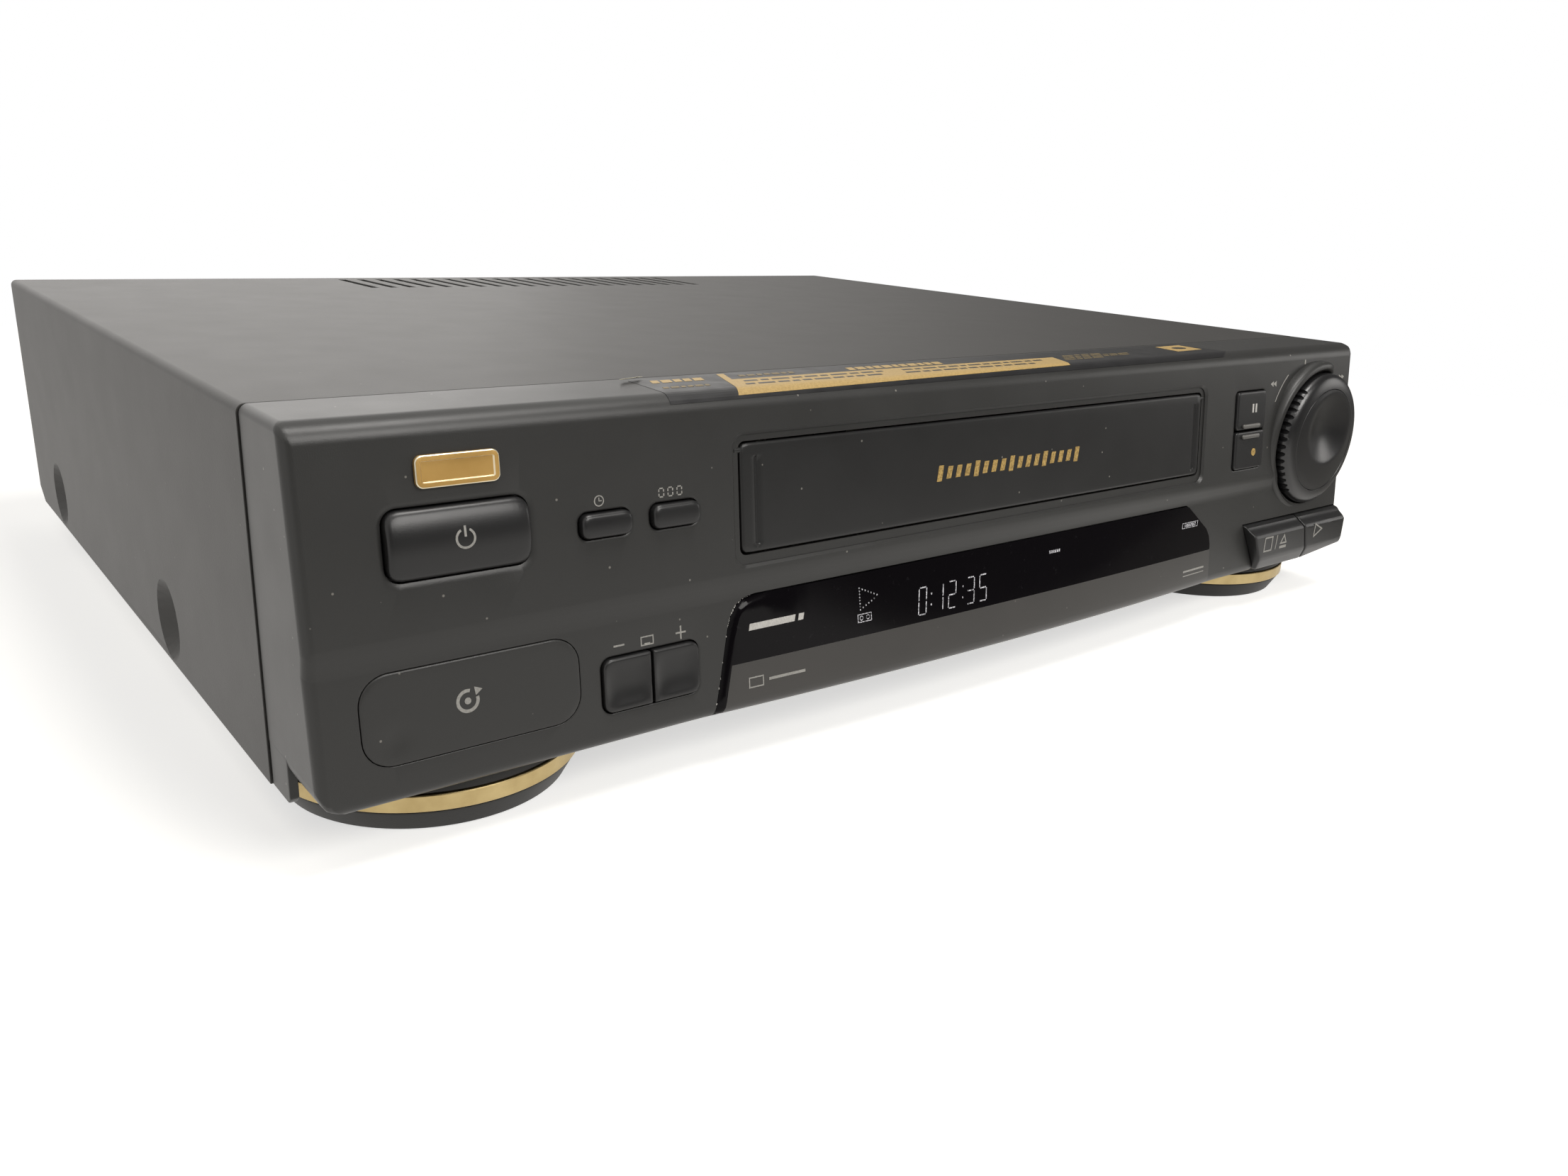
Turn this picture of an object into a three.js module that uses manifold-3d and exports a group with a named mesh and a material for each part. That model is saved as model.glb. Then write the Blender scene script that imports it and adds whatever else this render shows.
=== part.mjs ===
// A mid-size home video cassette recorder: steel cover over a pan, a moulded front with its
// door, keys and jog dial, and the tape mechanism, boards and sockets that it needs inside.
// Lengths are millimetres. X is to the right, Z is up, and the front looks along -Y.
// Places along Y are counted from the seam between the front moulding and the cover, places
// along Z from the floor, and a "drop" is a distance down from the top of the cover.
import * as THREE from "three";
import { mergeVertices } from "three/addons/utils/BufferGeometryUtils.js";
import Module from "manifold-3d";

const wasm = await Module();
wasm.setup();

// The cassette, and the room round it in its way in
const cassetteWidth = 188;
const cassetteThickness = 25;
const slotSideGap = 3.3;
const slotHeightGap = 3.2;

// Depths
const coverDepth = 297;
const frontReach = 35;
const rearReach = 6;

// Clearances and cutting
const fit = 0.3;
const runningFit = 0.4;
const seamGap = 0.6;
const overrun = 2;

// Smoothness counts
const cornerSteps = 3;
const fineSides = 36;
const roundSides = 24;
const smallSides = 12;
const pinSides = 10;

// Steel cover
const coverSheet = 1;
const coverBend = 2;
const coverBottom = 9;
const coverCornerLength = 8;
const coverCornerRise = 5;
const dimpleRadius = 11.5;
const dimpleFloorRadius = 5;
const dimpleDepth = 5;
const dimpleEdge = 0.8;
const dimpleBack = 0.6;
const frontDimpleY = 87;
const rearDimpleBackGap = 50;
const ventCount = 21;
const ventPitch = 8;
const ventWidth = 3.2;
const ventLength = 40;
const ventBackGap = 8;
const ventCentreX = 3;

// Feet
const footHeight = 13;
const frontFootSideGap = 3;
const frontFootY = 9.5;
const frontFootRadius = 37;
const frontFootBaseRadius = 34;
const footTaperHeight = 5.6;
const footRingBottom = 6;
const footRingTop = 10;
const footRingRadius = 37.4;
const footRingWall = 2.2;
const rearFootSideGap = 22;
const rearFootBackGap = 22;
const rearFootRadius = 13;
const rearFootBaseRadius = 11.5;

// Pan
const panSheet = 1.2;
const panFlangeHeight = 18;
const panFlangeFront = 16;
const panRearMargin = 1.5;
const postRadius = 4;

// Cover screws
const screwShaftRadius = 1.6;
const screwHoleRadius = 2;
const screwHeadRadius = 3.8;
const screwHeadHeight = 2;
const screwLength = 6;

// Front moulding
const frontWall = 2.5;
const frontSideGap = 0.4;
const topEdgeReach = 25.2;
const topEdgeRadius = 3;
const sideEdgeRadius = 2.5;
const faceLeanDegrees = 6;
const slotTopDrop = 12.2;
const slotToCreaseHeight = 5.1;
const creaseBandHeight = 4.5;
const creaseSetbackDepth = 1;
const lowerFaceHeight = 30.7;
const chinRadius = 3.5;
const bowDepth = 3.4;
const bowOffset = 2;
const bowHalfSpan = 112;
const lowerCornerRadius = 7;
const skirtLength = 12;
const skirtWall = 2.2;

// Cassette door and its opening
const slotCornerRadius = 2;
const doorGap = 0.5;
const doorThickness = 2;
const doorSetback = 0.6;
const doorAxisBelowTop = 1.6;
const doorPinRadius = 0.9;
const doorPinLength = 2.6;
const doorBevel = 0.4;
const lipWidth = 2.2;
const lipLowerWidth = 3;
const lipDepth = 1;
const earWidth = 3.4;
const earHeight = 7;
const earDepth = 4.5;

// Keys
const keyGap = 0.45;
const keyTravelDepth = 1;
const keyFlangeWidth = 1.2;
const keyCrownHeight = 0.7;
const keyShoulderHeight = 0.25;
const keyShoulderWidth = 0.35;
const keyTopInsetWidth = 1.1;
const keyStemWidth = 5;
const operateMargin = 18.4;
const operateWidth = 31.6;
const operateHeight = 14.6;
const operateRadius = 3;
const operateProudHeight = 2;
const operateRiseHeight = 0.4;
const operateToTimerGap = 12.3;
const smallKeyWidth = 13;
const smallKeyHeight = 5.6;
const smallKeyRadius = 2;
const smallKeyProudHeight = 1.6;
const smallKeyFallHeight = 1;
const smallKeysGap = 5.6;
const counterToSlotGap = 12.8;
const setPanelWidth = 50.4;
const setPanelHeight = 20;
const setPanelRadius = 6.5;
const setPanelProudHeight = 0.3;
const setPanelTopGap = 1.9;
const setPanelToProgramGap = 5.9;
const programWidth = 13;
const programHeight = 13;
const programRadius = 2.4;
const programProudHeight = 0.9;
const programTopGap = 9.2;
const programToWindowGap = 4.7;
const slotToPauseGap = 19.9;
const pauseWidth = 17.6;
const pauseHeight = 13.2;
const pauseRadius = 1.2;
const pauseProudHeight = 0.8;
const pauseFallHeight = 0.9;
const pauseToCollarGap = 6.4;
const pairGap = 0.6;
const stopTopMargin = 67;
const stopBottomMargin = 58.2;
const splitTopMargin = 32.5;
const splitBottomMargin = 27.2;
const playRightMargin = 1.4;
const transportHeight = 17.4;
const transportBottomGap = 1.1;
const playBottomRiseHeight = 3.2;
const transportLedgeDepth = 1.5;
const transportUpperReach = 32;
const transportEdgeHeight = 3.8;
const transportBevelHeight = 5.1;
const transportBevelDepth = 2.2;
const transportBackReach = 24;

// Display window
const windowTopGap = 0.8;
const windowLeftTopInset = 0.9;
const windowShoulderOutset = 3.1;
const windowShoulderHeight = 4.6;
const windowBottomOutset = 8.7;
const windowRightTopInset = 4.3;
const windowRightShoulderOutset = 8;
const windowRightShoulderHeight = 10.6;
const windowRightOutset = 10.1;
const windowThickness = 2;
const windowProudHeight = 0.4;
const windowChinMargin = 0.6;
const tubeInset = 31.3;
const tubeWidth = 166;
const tubeTopGap = 3.5;
const tubeHeight = 14;
const tubeFrontReach = 24;

// Jog and shuttle dial
const dialMargin = 26.4;
const dialFallHeight = 7.3;
const ringRadius = 24.4;
const ringWallThickness = 5.2;
const ringFrontReach = 33;
const ringWebThickness = 1.6;
const wellGap = 0.5;
const wellFloorReach = 20;
const wellFloorWall = 2;
const collarRadius = 28.4;
const collarReach = 30.4;
const jogFrontReach = 34.2;
const jogCrownHeight = 0.6;
const jogThickness = 7;
const jogShaftRadius = 2.6;
const knurlCount = 16;
const knurlDepth = 0.5;
const knurlStartDegrees = 130;
const knurlStepDegrees = 6.5;
const encoderBushRadius = 6;
const encoderSize = 26;
const encoderDepth = 5;

// Board behind the front
const boardThickness = 1.6;
const frontBoardReach = 9.4;
const frontBoardSideMargin = 7;
const frontBoardBottomMargin = 4.7;
const frontBoardTopMargin = 9;
const frontBoardSlotMargin = 5;
const switchSize = 6;
const switchHeight = 3;
const bossRadius = 3;
const bossInset = 6;

// Rear panel and sockets
const rearPanelInset = 8;
const rearPanelSheet = 1.2;
const avSocketMargin = 166;
const avSocketWidth = 48;
const avSocketHeight = 15;
const avSocketDepth = 14;
const avSocketLowerZ = 30;
const avSocketSpacing = 22;
const avSocketProudDepth = 2;
const shroudGroove = 1.6;
const shroudInset = 2.4;
const shroudDepth = 6;
const rfUnitMargin = 48;
const rfUnitWidth = 58;
const rfUnitDepth = 34;
const rfUnitHeight = 34;
const aerialSpacing = 24;
const aerialRadius = 4.75;
const aerialBoreRadius = 1.6;
const aerialBoreDepth = 7;
const aerialLegHeight = 17;
const inletMargin = 40;
const inletZ = 34;
const inletWidth = 24;
const inletHeight = 15;
const inletRecessWidth = 15;
const inletRecessHeight = 8;
const inletDepth = 20;
const inletRecessDepth = 13;
const inletPinRadius = 1.2;
const inletPinSpacing = 8.6;
const inletPinLength = 9;
const inletFlangeWidth = 1.2;

// Circuit boards at the left
const boardLeftMargin = 13;
const boardStandHeight = 5.5;
const mainBoardFrontY = 8;
const mainBoardLength = 144;
const powerBoardGap = 10;
const powerBoardLength = 122;
const boardMechanismGap = 4;
const chipSize = 22;
const chipHeight = 3;
const shieldWidth = 40;
const shieldLength = 56;
const shieldHeight = 16;
const capacitorRadius = 11;
const capacitorHeight = 32;
const heatSinkLength = 40;
const heatSinkHeight = 36;
const heatSinkWidth = 8;
const transformerWidth = 42;
const transformerLength = 48;
const transformerCore = 18;
const transformerHeight = 34;
const transformerWinding = 8;

// Mechanism chassis
const deckSideMargin = 3.4;
const deckFrontY = 14;
const deckRearY = 232;
const deckHeight = 9.7;
const deckSheet = 1.6;
const deckPostInset = 9;

// Cassette carriage
const carriageWall = 1.2;
const carriageGap = 0.6;
const basketSideGap = 0.8;
const basketTopGap = 1.3;
const basketFloorGap = 0.9;
const basketFrontY = 4.4;
const basketDepth = 80;
const basketLedgeWidth = 13;
const basketStopHeight = 6;
const basketTravelLength = 66;
const basketDeckGap = 5.2;
const guidePinRadius = 1.5;
const guidePinInset = 16;
const slideFloorGap = 1;
const slideTopHeight = 5.2;
const frameDepth = 152;
const frameTopHeight = 9.2;
const frameRailHeight = 1.2;
const frameBarWidth = 12;
const slideBarWidth = 8;

// Reels, clutch and idler
const reelSpacing = 92;
const reelY = 88;
const tableRadius = 17;
const tableBottomGap = 0.6;
const tableThickness = 3.3;
const hubRadius = 8;
const hubHeight = 12;
const hubFins = 3;
const hubFinLength = 2.5;
const hubFinWidth = 2;
const spindleRadius = 2;
const clutchY = 112;
const clutchPulleyRadius = 12;
const clutchGearRadius = 15.4;
const clutchGearHeight = 3.4;
const idlerArmLength = 26;
const idlerWheelRadius = 10;
const idlerArmSheet = 1.6;
const idlerArmWidth = 7;
const driveThickness = 3.4;

// Head drum
const drumY = 186;
const drumRadius = 31;
const drumTiltDegrees = 5;
const drumMiddleHeight = 20;
const drumTopHeight = 38;
const drumGap = 0.4;
const drumHubRadius = 8;
const drumHubHeight = 2.5;

// Capstan and belt
const capstanX = 49;
const capstanY = 148;
const capstanShaftRadius = 2;
const capstanHeadGap = 2.7;
const flywheelRadius = 22;
const flywheelFloorGap = 1.8;
const flywheelThickness = 3.5;
const wheelHubRadius = 4;
const bearingRadius = 4.6;
const bearingHeight = 7;
const beltWall = 1.4;
const beltHeight = 2.2;
const beltInset = 0.6;

// Loading arms and cam gear
const armPivotX = 10;
const armPivotBack = 10.8;
const armGearTeeth = 20;
const gearModuleSize = 1;
const gearToothShare = 0.42;
const gearAddendumShare = 0.85;
const gearDedendumShare = 1.2;
const camGearTeeth = 40;
const gearThickness = 3;
const armLayerGap = 1;
const armSheet = 2.5;
const armWidth = 8;
const armPostX = 25;
const armPostFront = 46;
const armSweepDegrees = 99;
const guidePostRadius = 1.6;
const guideRollerRadius = 3;
const guideHeadGap = 3.8;
const guideSlotGap = 0.8;
const pivotPinRadius = 2.2;
const camPinRadius = 3;

// Pinch roller, tension arm and fixed heads
const pinchPivotX = 72;
const pinchPivotY = 146;
const pinchArmLength = 19.2;
const pinchRestDegrees = 249.8;
const pinchArmSheet = 3;
const pinchArmWidth = 8;
const pinchLiftHeight = 4;
const pinchRollerRadius = 7;
const pinchRollerLiftHeight = 3;
const pinchRollerLength = 16;
const tensionPivotX = -74;
const tensionPivotY = 116;
const tensionLength = 33;
const tensionRestDegrees = 42;
const eraseHeadX = -68;
const eraseHeadY = 170;
const soundHeadX = 65;
const soundHeadY = 172;
const headWidth = 11;
const headDepth = 9;
const headLiftHeight = 12;
const headHeight = 16;
const headStalkRadius = 2.5;
const motorX = -78;
const motorY = 206;
const motorRadius = 12;
const motorLength = 36;
const motorBracketHeight = 2;

// Widths across the front, added up from its pieces
const slotWidth = cassetteWidth + 2 * slotSideGap;
const slotHeight = cassetteThickness + slotHeightGap;
const leftSpan = operateMargin + operateWidth + operateToTimerGap + 2 * smallKeyWidth
  + smallKeysGap + counterToSlotGap;
const rightSpan = slotToPauseGap + pauseWidth + pauseToCollarGap + collarRadius + dialMargin;
const bodyWidth = leftSpan + slotWidth + rightSpan;
const half = bodyWidth / 2;
const frontHalf = half - frontSideGap;
const slotLeftX = -half + leftSpan;
const slotRightX = half - rightSpan;
const doorCentreX = (slotLeftX + slotRightX) / 2;
const operateX = -half + operateMargin + operateWidth / 2;
const timerX = operateX + operateWidth / 2 + operateToTimerGap + smallKeyWidth / 2;
const counterX = timerX + smallKeyWidth + smallKeysGap;
const pauseX = slotRightX + slotToPauseGap + pauseWidth / 2;
const dialX = half - dialMargin;
const windowLeftTopX = slotLeftX + windowLeftTopInset;
const windowShoulderX = slotLeftX - windowShoulderOutset;
const windowLeftBottomX = slotLeftX - windowBottomOutset;
const windowRightTopX = slotRightX - windowRightTopInset;
const windowRightShoulderX = slotRightX + windowRightShoulderOutset;
const windowRightX = slotRightX + windowRightOutset;
const tubeLeftX = slotLeftX + tubeInset;
const programSplitX = windowLeftBottomX - programToWindowGap - programWidth - pairGap / 2;
const setPanelX = programSplitX - pairGap / 2 - programWidth - setPanelToProgramGap
  - setPanelWidth / 2;
const stopLeftTopX = half - stopTopMargin;
const stopLeftBottomX = half - stopBottomMargin;
const splitTopX = half - splitTopMargin;
const splitBottomX = half - splitBottomMargin;
const transportRightX = frontHalf - playRightMargin;
const bowCentreX = doorCentreX + bowOffset;

// Heights, added up the same way
const creaseDrop = slotTopDrop + slotHeight + slotToCreaseHeight;
const lowerTopDrop = creaseDrop + creaseBandHeight;
const faceHeight = lowerTopDrop + lowerFaceHeight;
const frontBottom = footHeight + fit;
const bodyHeight = frontBottom + faceHeight;
const slotMiddleDrop = slotTopDrop + slotHeight / 2;
const operateDrop = slotMiddleDrop - operateRiseHeight;
const smallKeyDrop = slotMiddleDrop + smallKeyFallHeight;
const pauseSplitDrop = slotMiddleDrop + pauseFallHeight;
const dialZ = bodyHeight - slotMiddleDrop - dialFallHeight;
const windowTopDrop = lowerTopDrop + windowTopGap;
const windowShoulderDrop = lowerTopDrop + windowShoulderHeight;
const windowRightShoulderDrop = lowerTopDrop + windowRightShoulderHeight;
const tubeTopDrop = lowerTopDrop + tubeTopGap;
const setPanelDrop = lowerTopDrop + setPanelTopGap + setPanelHeight / 2;
const programDrop = lowerTopDrop + programTopGap + programHeight / 2;
const transportBottomDrop = faceHeight - transportBottomGap;
const transportTopDrop = transportBottomDrop - transportHeight;
const transportEdgeDrop = transportTopDrop + transportEdgeHeight;
const transportBevelDrop = transportBottomDrop - transportBevelHeight;
const frontBoardBottomDrop = faceHeight - frontBoardBottomMargin;
const panTop = frontBottom + panSheet;
const boardZ = panTop + boardStandHeight;
const flywheelZ = panTop + flywheelFloorGap;
const gearZ = flywheelZ;
const deckZ = flywheelZ + deckHeight;
const deckTop = deckZ + deckSheet;
const dimpleZ = coverBottom + dimpleRadius + dimpleEdge;
const basketFloorZ = bodyHeight - slotTopDrop - slotHeight + basketFloorGap;
const basketTop = basketFloorZ + cassetteThickness + basketTopGap;
const basketDrop = basketFloorZ - carriageWall - deckTop - basketDeckGap;
const loweredTop = basketTop - basketDrop;
const guideTop = loweredTop - guideHeadGap;
const capstanTop = loweredTop - capstanHeadGap;
const slideFloorZ = basketFloorZ - basketDrop - slideFloorGap;
const slideTopZ = basketTop + slideTopHeight;
const frameTopZ = basketTop + frameTopHeight;
const frameRailZ = basketTop + frameRailHeight;

// Other places worked out from the sizes above
const lean = THREE.MathUtils.degToRad(faceLeanDegrees);
const slope = Math.tan(lean);
const upperReach = (drop) => topEdgeReach + slope * (drop - topEdgeRadius);
const lowerReach = (drop) =>
  upperReach(creaseDrop) - creaseSetbackDepth + slope * (drop - lowerTopDrop);
const coverInside = half - coverSheet;
const flangeOuter = half - dimpleDepth - coverSheet - fit;
const frontFootX = half - frontFootSideGap - frontFootRadius;
const rearFootX = half - rearFootSideGap - rearFootRadius;
const rearFootY = coverDepth - rearFootBackGap - rearFootRadius;
const rearPanelY = coverDepth - rearPanelInset;
const rearDimpleY = coverDepth - rearDimpleBackGap;
const ventFrontY = coverDepth - ventBackGap - ventLength;
const rearPanelBack = rearPanelY + rearPanelSheet;
const avSocketX = half - avSocketMargin;
const rfUnitX = half - rfUnitMargin;
const inletX = -half + inletMargin;
const boardBack = -frontBoardReach;
const boardFront = -frontBoardReach - boardThickness;
const mechanismX = doorCentreX;
const basketHalfWidth = cassetteWidth / 2 + basketSideGap + carriageWall;
const slideHalf = basketHalfWidth + carriageGap + carriageWall;
const frameHalf = slideHalf + carriageGap + carriageWall;
const deckHalfWidth = frameHalf + deckSideMargin;
const switchTop = boardFront - switchHeight;
const clutchDistance = Math.hypot(capstanX, capstanY - clutchY);

// Solids: closed geometry in, joined and cut with manifold-3d
function solid(shape) {
  if (shape instanceof wasm.Manifold) return shape;
  const loose = shape.index ? shape.toNonIndexed() : shape;
  const bare = new THREE.BufferGeometry();
  bare.setAttribute("position", loose.getAttribute("position"));
  const welded = mergeVertices(bare, 1e-4);
  const vertProperties = new Float32Array(welded.attributes.position.array);
  const triVerts = new Uint32Array(welded.index.array);
  const made = new wasm.Manifold(new wasm.Mesh({ numProp: 3, vertProperties, triVerts }));
  if (made.volume() > 0) return made;
  for (let i = 0; i < triVerts.length; i += 3) {
    [triVerts[i], triVerts[i + 1]] = [triVerts[i + 1], triVerts[i]];
  }
  return new wasm.Manifold(new wasm.Mesh({ numProp: 3, vertProperties, triVerts }));
}
const join = (first, ...more) => more.reduce((all, next) => all.add(solid(next)), solid(first));
const cut = (first, ...more) => more.reduce((all, next) => all.subtract(solid(next)), solid(first));
const common = (first, second) => solid(first).intersect(solid(second));

function geometryOf(shape) {
  const mesh = solid(shape).getMesh();
  const stride = mesh.numProp;
  const position = new Float32Array(mesh.numVert * 3);
  for (let i = 0; i < mesh.numVert; i++) {
    position.set(mesh.vertProperties.subarray(i * stride, i * stride + 3), i * 3);
  }
  const geometry = new THREE.BufferGeometry();
  geometry.setAttribute("position", new THREE.BufferAttribute(position, 3));
  geometry.setIndex(new THREE.BufferAttribute(new Uint32Array(mesh.triVerts), 1));
  geometry.computeVertexNormals();
  return geometry;
}

// Primitive shapes placed by their ends
function box(x0, x1, y0, y1, z0, z1) {
  const block = new THREE.BoxGeometry(x1 - x0, y1 - y0, z1 - z0);
  return block.translate((x0 + x1) / 2, (y0 + y1) / 2, (z0 + z1) / 2);
}
function rod(radius, z0, z1, sides, x = 0, y = 0) {
  const cylinder = new THREE.CylinderGeometry(radius, radius, z1 - z0, sides);
  return cylinder.rotateX(Math.PI / 2).translate(x, y, (z0 + z1) / 2);
}
function rodAlongY(radius, y0, y1, sides, x, z) {
  return new THREE.CylinderGeometry(radius, radius, y1 - y0, sides).translate(x, (y0 + y1) / 2, z);
}
function rodAlongX(radius, x0, x1, sides, y, z) {
  const cylinder = new THREE.CylinderGeometry(radius, radius, x1 - x0, sides);
  return cylinder.rotateZ(Math.PI / 2).translate((x0 + x1) / 2, y, z);
}
function prism(outline, z0, z1) {
  const shape = outline instanceof THREE.Shape ? outline : new THREE.Shape(
    outline.map(([a, b]) => new THREE.Vector2(a, b)),
  );
  const settings = { depth: z1 - z0, bevelEnabled: false, curveSegments: cornerSteps };
  return new THREE.ExtrudeGeometry(shape, settings).translate(0, 0, z0);
}
const prismAlongY = (outline, y0, y1) => prism(outline, -y1, -y0).rotateX(Math.PI / 2);
const toAlongX = new THREE.Matrix4().makeBasis(
  new THREE.Vector3(0, 1, 0),
  new THREE.Vector3(0, 0, 1),
  new THREE.Vector3(1, 0, 0),
);
const prismAlongX = (outline, x0, x1) => prism(outline, x0, x1).applyMatrix4(toAlongX);
function turned(profile, sides) {
  const points = profile.map(([r, z]) => new THREE.Vector2(r, z));
  return new THREE.LatheGeometry(points, sides).rotateX(Math.PI / 2);
}
function roundedRect(width, height, radius, x = 0, y = 0) {
  const shape = new THREE.Shape();
  const right = x + width / 2 - radius;
  const left = x - width / 2 + radius;
  const top = y + height / 2 - radius;
  const bottom = y - height / 2 + radius;
  shape.absarc(right, top, radius, 0, Math.PI / 2);
  shape.absarc(left, top, radius, Math.PI / 2, Math.PI);
  shape.absarc(left, bottom, radius, Math.PI, (Math.PI * 3) / 2);
  shape.absarc(right, bottom, radius, (Math.PI * 3) / 2, Math.PI * 2);
  shape.closePath();
  return shape;
}

// A closed skin through rings of points, with flat caps; flatten gives a ring's outline in 2-D
function loft(rings, flatten) {
  const count = rings[0].length;
  const positions = rings.flat(2);
  const index = [];
  for (let r = 0; r + 1 < rings.length; r++) {
    for (let i = 0; i < count; i++) {
      const j = (i + 1) % count;
      const a = r * count;
      const b = a + count;
      index.push(a + i, a + j, b + j, a + i, b + j, b + i);
    }
  }
  for (const [ring, flip] of [[0, true], [rings.length - 1, false]]) {
    const outline = rings[ring].map(flatten);
    for (const [a, b, c] of THREE.ShapeUtils.triangulateShape(outline, [])) {
      const base = ring * count;
      index.push(base + a, base + (flip ? c : b), base + (flip ? b : c));
    }
  }
  const geometry = new THREE.BufferGeometry();
  geometry.setAttribute("position", new THREE.Float32BufferAttribute(positions, 3));
  geometry.setIndex(index);
  return geometry;
}

// A rounded block from rounded rectangles at levels [height, inset]
function pillow(width, height, radius, levels) {
  const rings = levels.map(([level, inset]) => {
    const w = width / 2 - inset;
    const h = height / 2 - inset;
    const r = Math.max(radius - inset, radius / 4);
    const centres = [[w - r, h - r, 0], [r - w, h - r, 1], [r - w, r - h, 2], [w - r, r - h, 3]];
    return centres.flatMap(([cx, cy, quarter]) =>
      Array.from({ length: cornerSteps }, (_, i) => {
        const angle = ((quarter + i / (cornerSteps - 1)) * Math.PI) / 2;
        return [cx + r * Math.cos(angle), cy + r * Math.sin(angle), level];
      }),
    );
  });
  return loft(rings, ([x, y]) => new THREE.Vector2(x, y));
}

// The frame of the leaning face: local X right, local Y up the face, local Z out of it
const faceTurn = Math.PI / 2 - lean;
const upperPlace = (x, drop) => [x, -upperReach(drop), bodyHeight - drop];
const lowerPlace = (x, drop) => [x, -lowerReach(drop), bodyHeight - drop];
const fromFace = (shape, [x, y, z]) => shape.rotateX(faceTurn).translate(x, y, z);

// Materials
const paint = (color, roughness, metalness = 0) =>
  new THREE.MeshStandardMaterial({ color, roughness, metalness });
const coverPaint = paint(0x3b3a38, 0.55, 0.2);
const frontPlastic = paint(0x2b2b2b, 0.5);
const keyPlastic = paint(0x2f2f2f, 0.45);
const smokedPanel = paint(0x0c0a0c, 0.12);
const goldTrim = paint(0xc8ab6c, 0.35, 0.6);
const zincSteel = paint(0xa9acae, 0.4, 0.9);
const machined = paint(0xc3c5c7, 0.25, 0.9);
const footPlastic = paint(0x1f1f1f, 0.7);
const rubber = paint(0x1a1a1a, 0.9);
const boardGreen = paint(0x6f5a36, 0.7);
const socketPlastic = paint(0x191919, 0.6);
const whiteNylon = paint(0xe6e2d6, 0.5);
const ferrite = paint(0x3f3a38, 0.8);

const part = new THREE.Group();
part.position.y = -(coverDepth + rearReach - frontReach) / 2;
function add(name, shape, material, place = [0, 0, 0], turnX = 0, turnZ = 0) {
  const mesh = new THREE.Mesh(geometryOf(shape), material);
  mesh.name = name;
  mesh.position.set(...place);
  mesh.rotation.set(turnX, 0, turnZ);
  part.add(mesh);
}

// Steel cover: a folded sheet with pressed screw dimples and a row of vent slots
function archOutline(halfWidth, z0, z1, bend) {
  const arch = new THREE.Shape();
  arch.moveTo(-halfWidth, z0);
  arch.lineTo(halfWidth, z0);
  arch.absarc(halfWidth - bend, z1 - bend, bend, 0, Math.PI / 2);
  arch.absarc(bend - halfWidth, z1 - bend, bend, Math.PI / 2, Math.PI);
  return arch;
}
function frustumAlongX(outerX, innerX, outerRadius, innerRadius, y, z) {
  const length = Math.abs(outerX - innerX);
  const away = Math.sign(outerX - innerX);
  const cone = new THREE.CylinderGeometry(outerRadius, innerRadius, length, roundSides);
  return cone.rotateZ((-away * Math.PI) / 2).translate((outerX + innerX) / 2, y, z);
}
function topCover() {
  const outside = archOutline(half, coverBottom, bodyHeight, coverBend);
  const inside = archOutline(
    coverInside,
    coverBottom - overrun,
    bodyHeight - coverSheet,
    coverBend - coverSheet,
  );
  let cover = cut(
    prismAlongY(outside, seamGap, coverDepth),
    prismAlongY(inside, -overrun, coverDepth + overrun),
  );
  for (const side of [-1, 1]) {
    for (const y of [frontDimpleY, rearDimpleY]) {
      const floorX = side * (half - dimpleDepth);
      const cupStart = side * (half - coverSheet / 2);
      const cup = frustumAlongX(
        cupStart,
        floorX - side * coverSheet,
        dimpleRadius + dimpleBack,
        dimpleFloorRadius + dimpleBack,
        y,
        dimpleZ,
      );
      const dishTilt = (dimpleRadius - dimpleFloorRadius) / dimpleDepth;
      const dish = frustumAlongX(
        side * (half + overrun),
        floorX,
        dimpleRadius + overrun * dishTilt,
        dimpleFloorRadius,
        y,
        dimpleZ,
      );
      const hole = rodAlongX(
        screwHoleRadius,
        Math.min(floorX, floorX - side * overrun) - overrun,
        Math.max(floorX, floorX - side * overrun) + overrun,
        smallSides,
        y,
        dimpleZ,
      );
      cover = cut(join(cover, cup), dish, hole);
    }
  }
  for (let i = 0; i < ventCount; i++) {
    const x = ventCentreX + (i - (ventCount - 1) / 2) * ventPitch;
    const slot = box(x - ventWidth / 2, x + ventWidth / 2, ventFrontY, ventFrontY + ventLength,
      bodyHeight - coverSheet - overrun, bodyHeight + overrun);
    cover = cut(cover, slot);
  }
  const corner = [
    [coverDepth - coverCornerLength, coverBottom - overrun],
    [coverDepth + overrun, coverBottom - overrun],
    [coverDepth + overrun, coverBottom + coverCornerRise],
    [coverDepth, coverBottom + coverCornerRise],
    [coverDepth - coverCornerLength, coverBottom],
  ];
  cover = cut(cover, prismAlongX(corner, -half - overrun, half + overrun));
  add("top_cover", cover, coverPaint);
}

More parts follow.
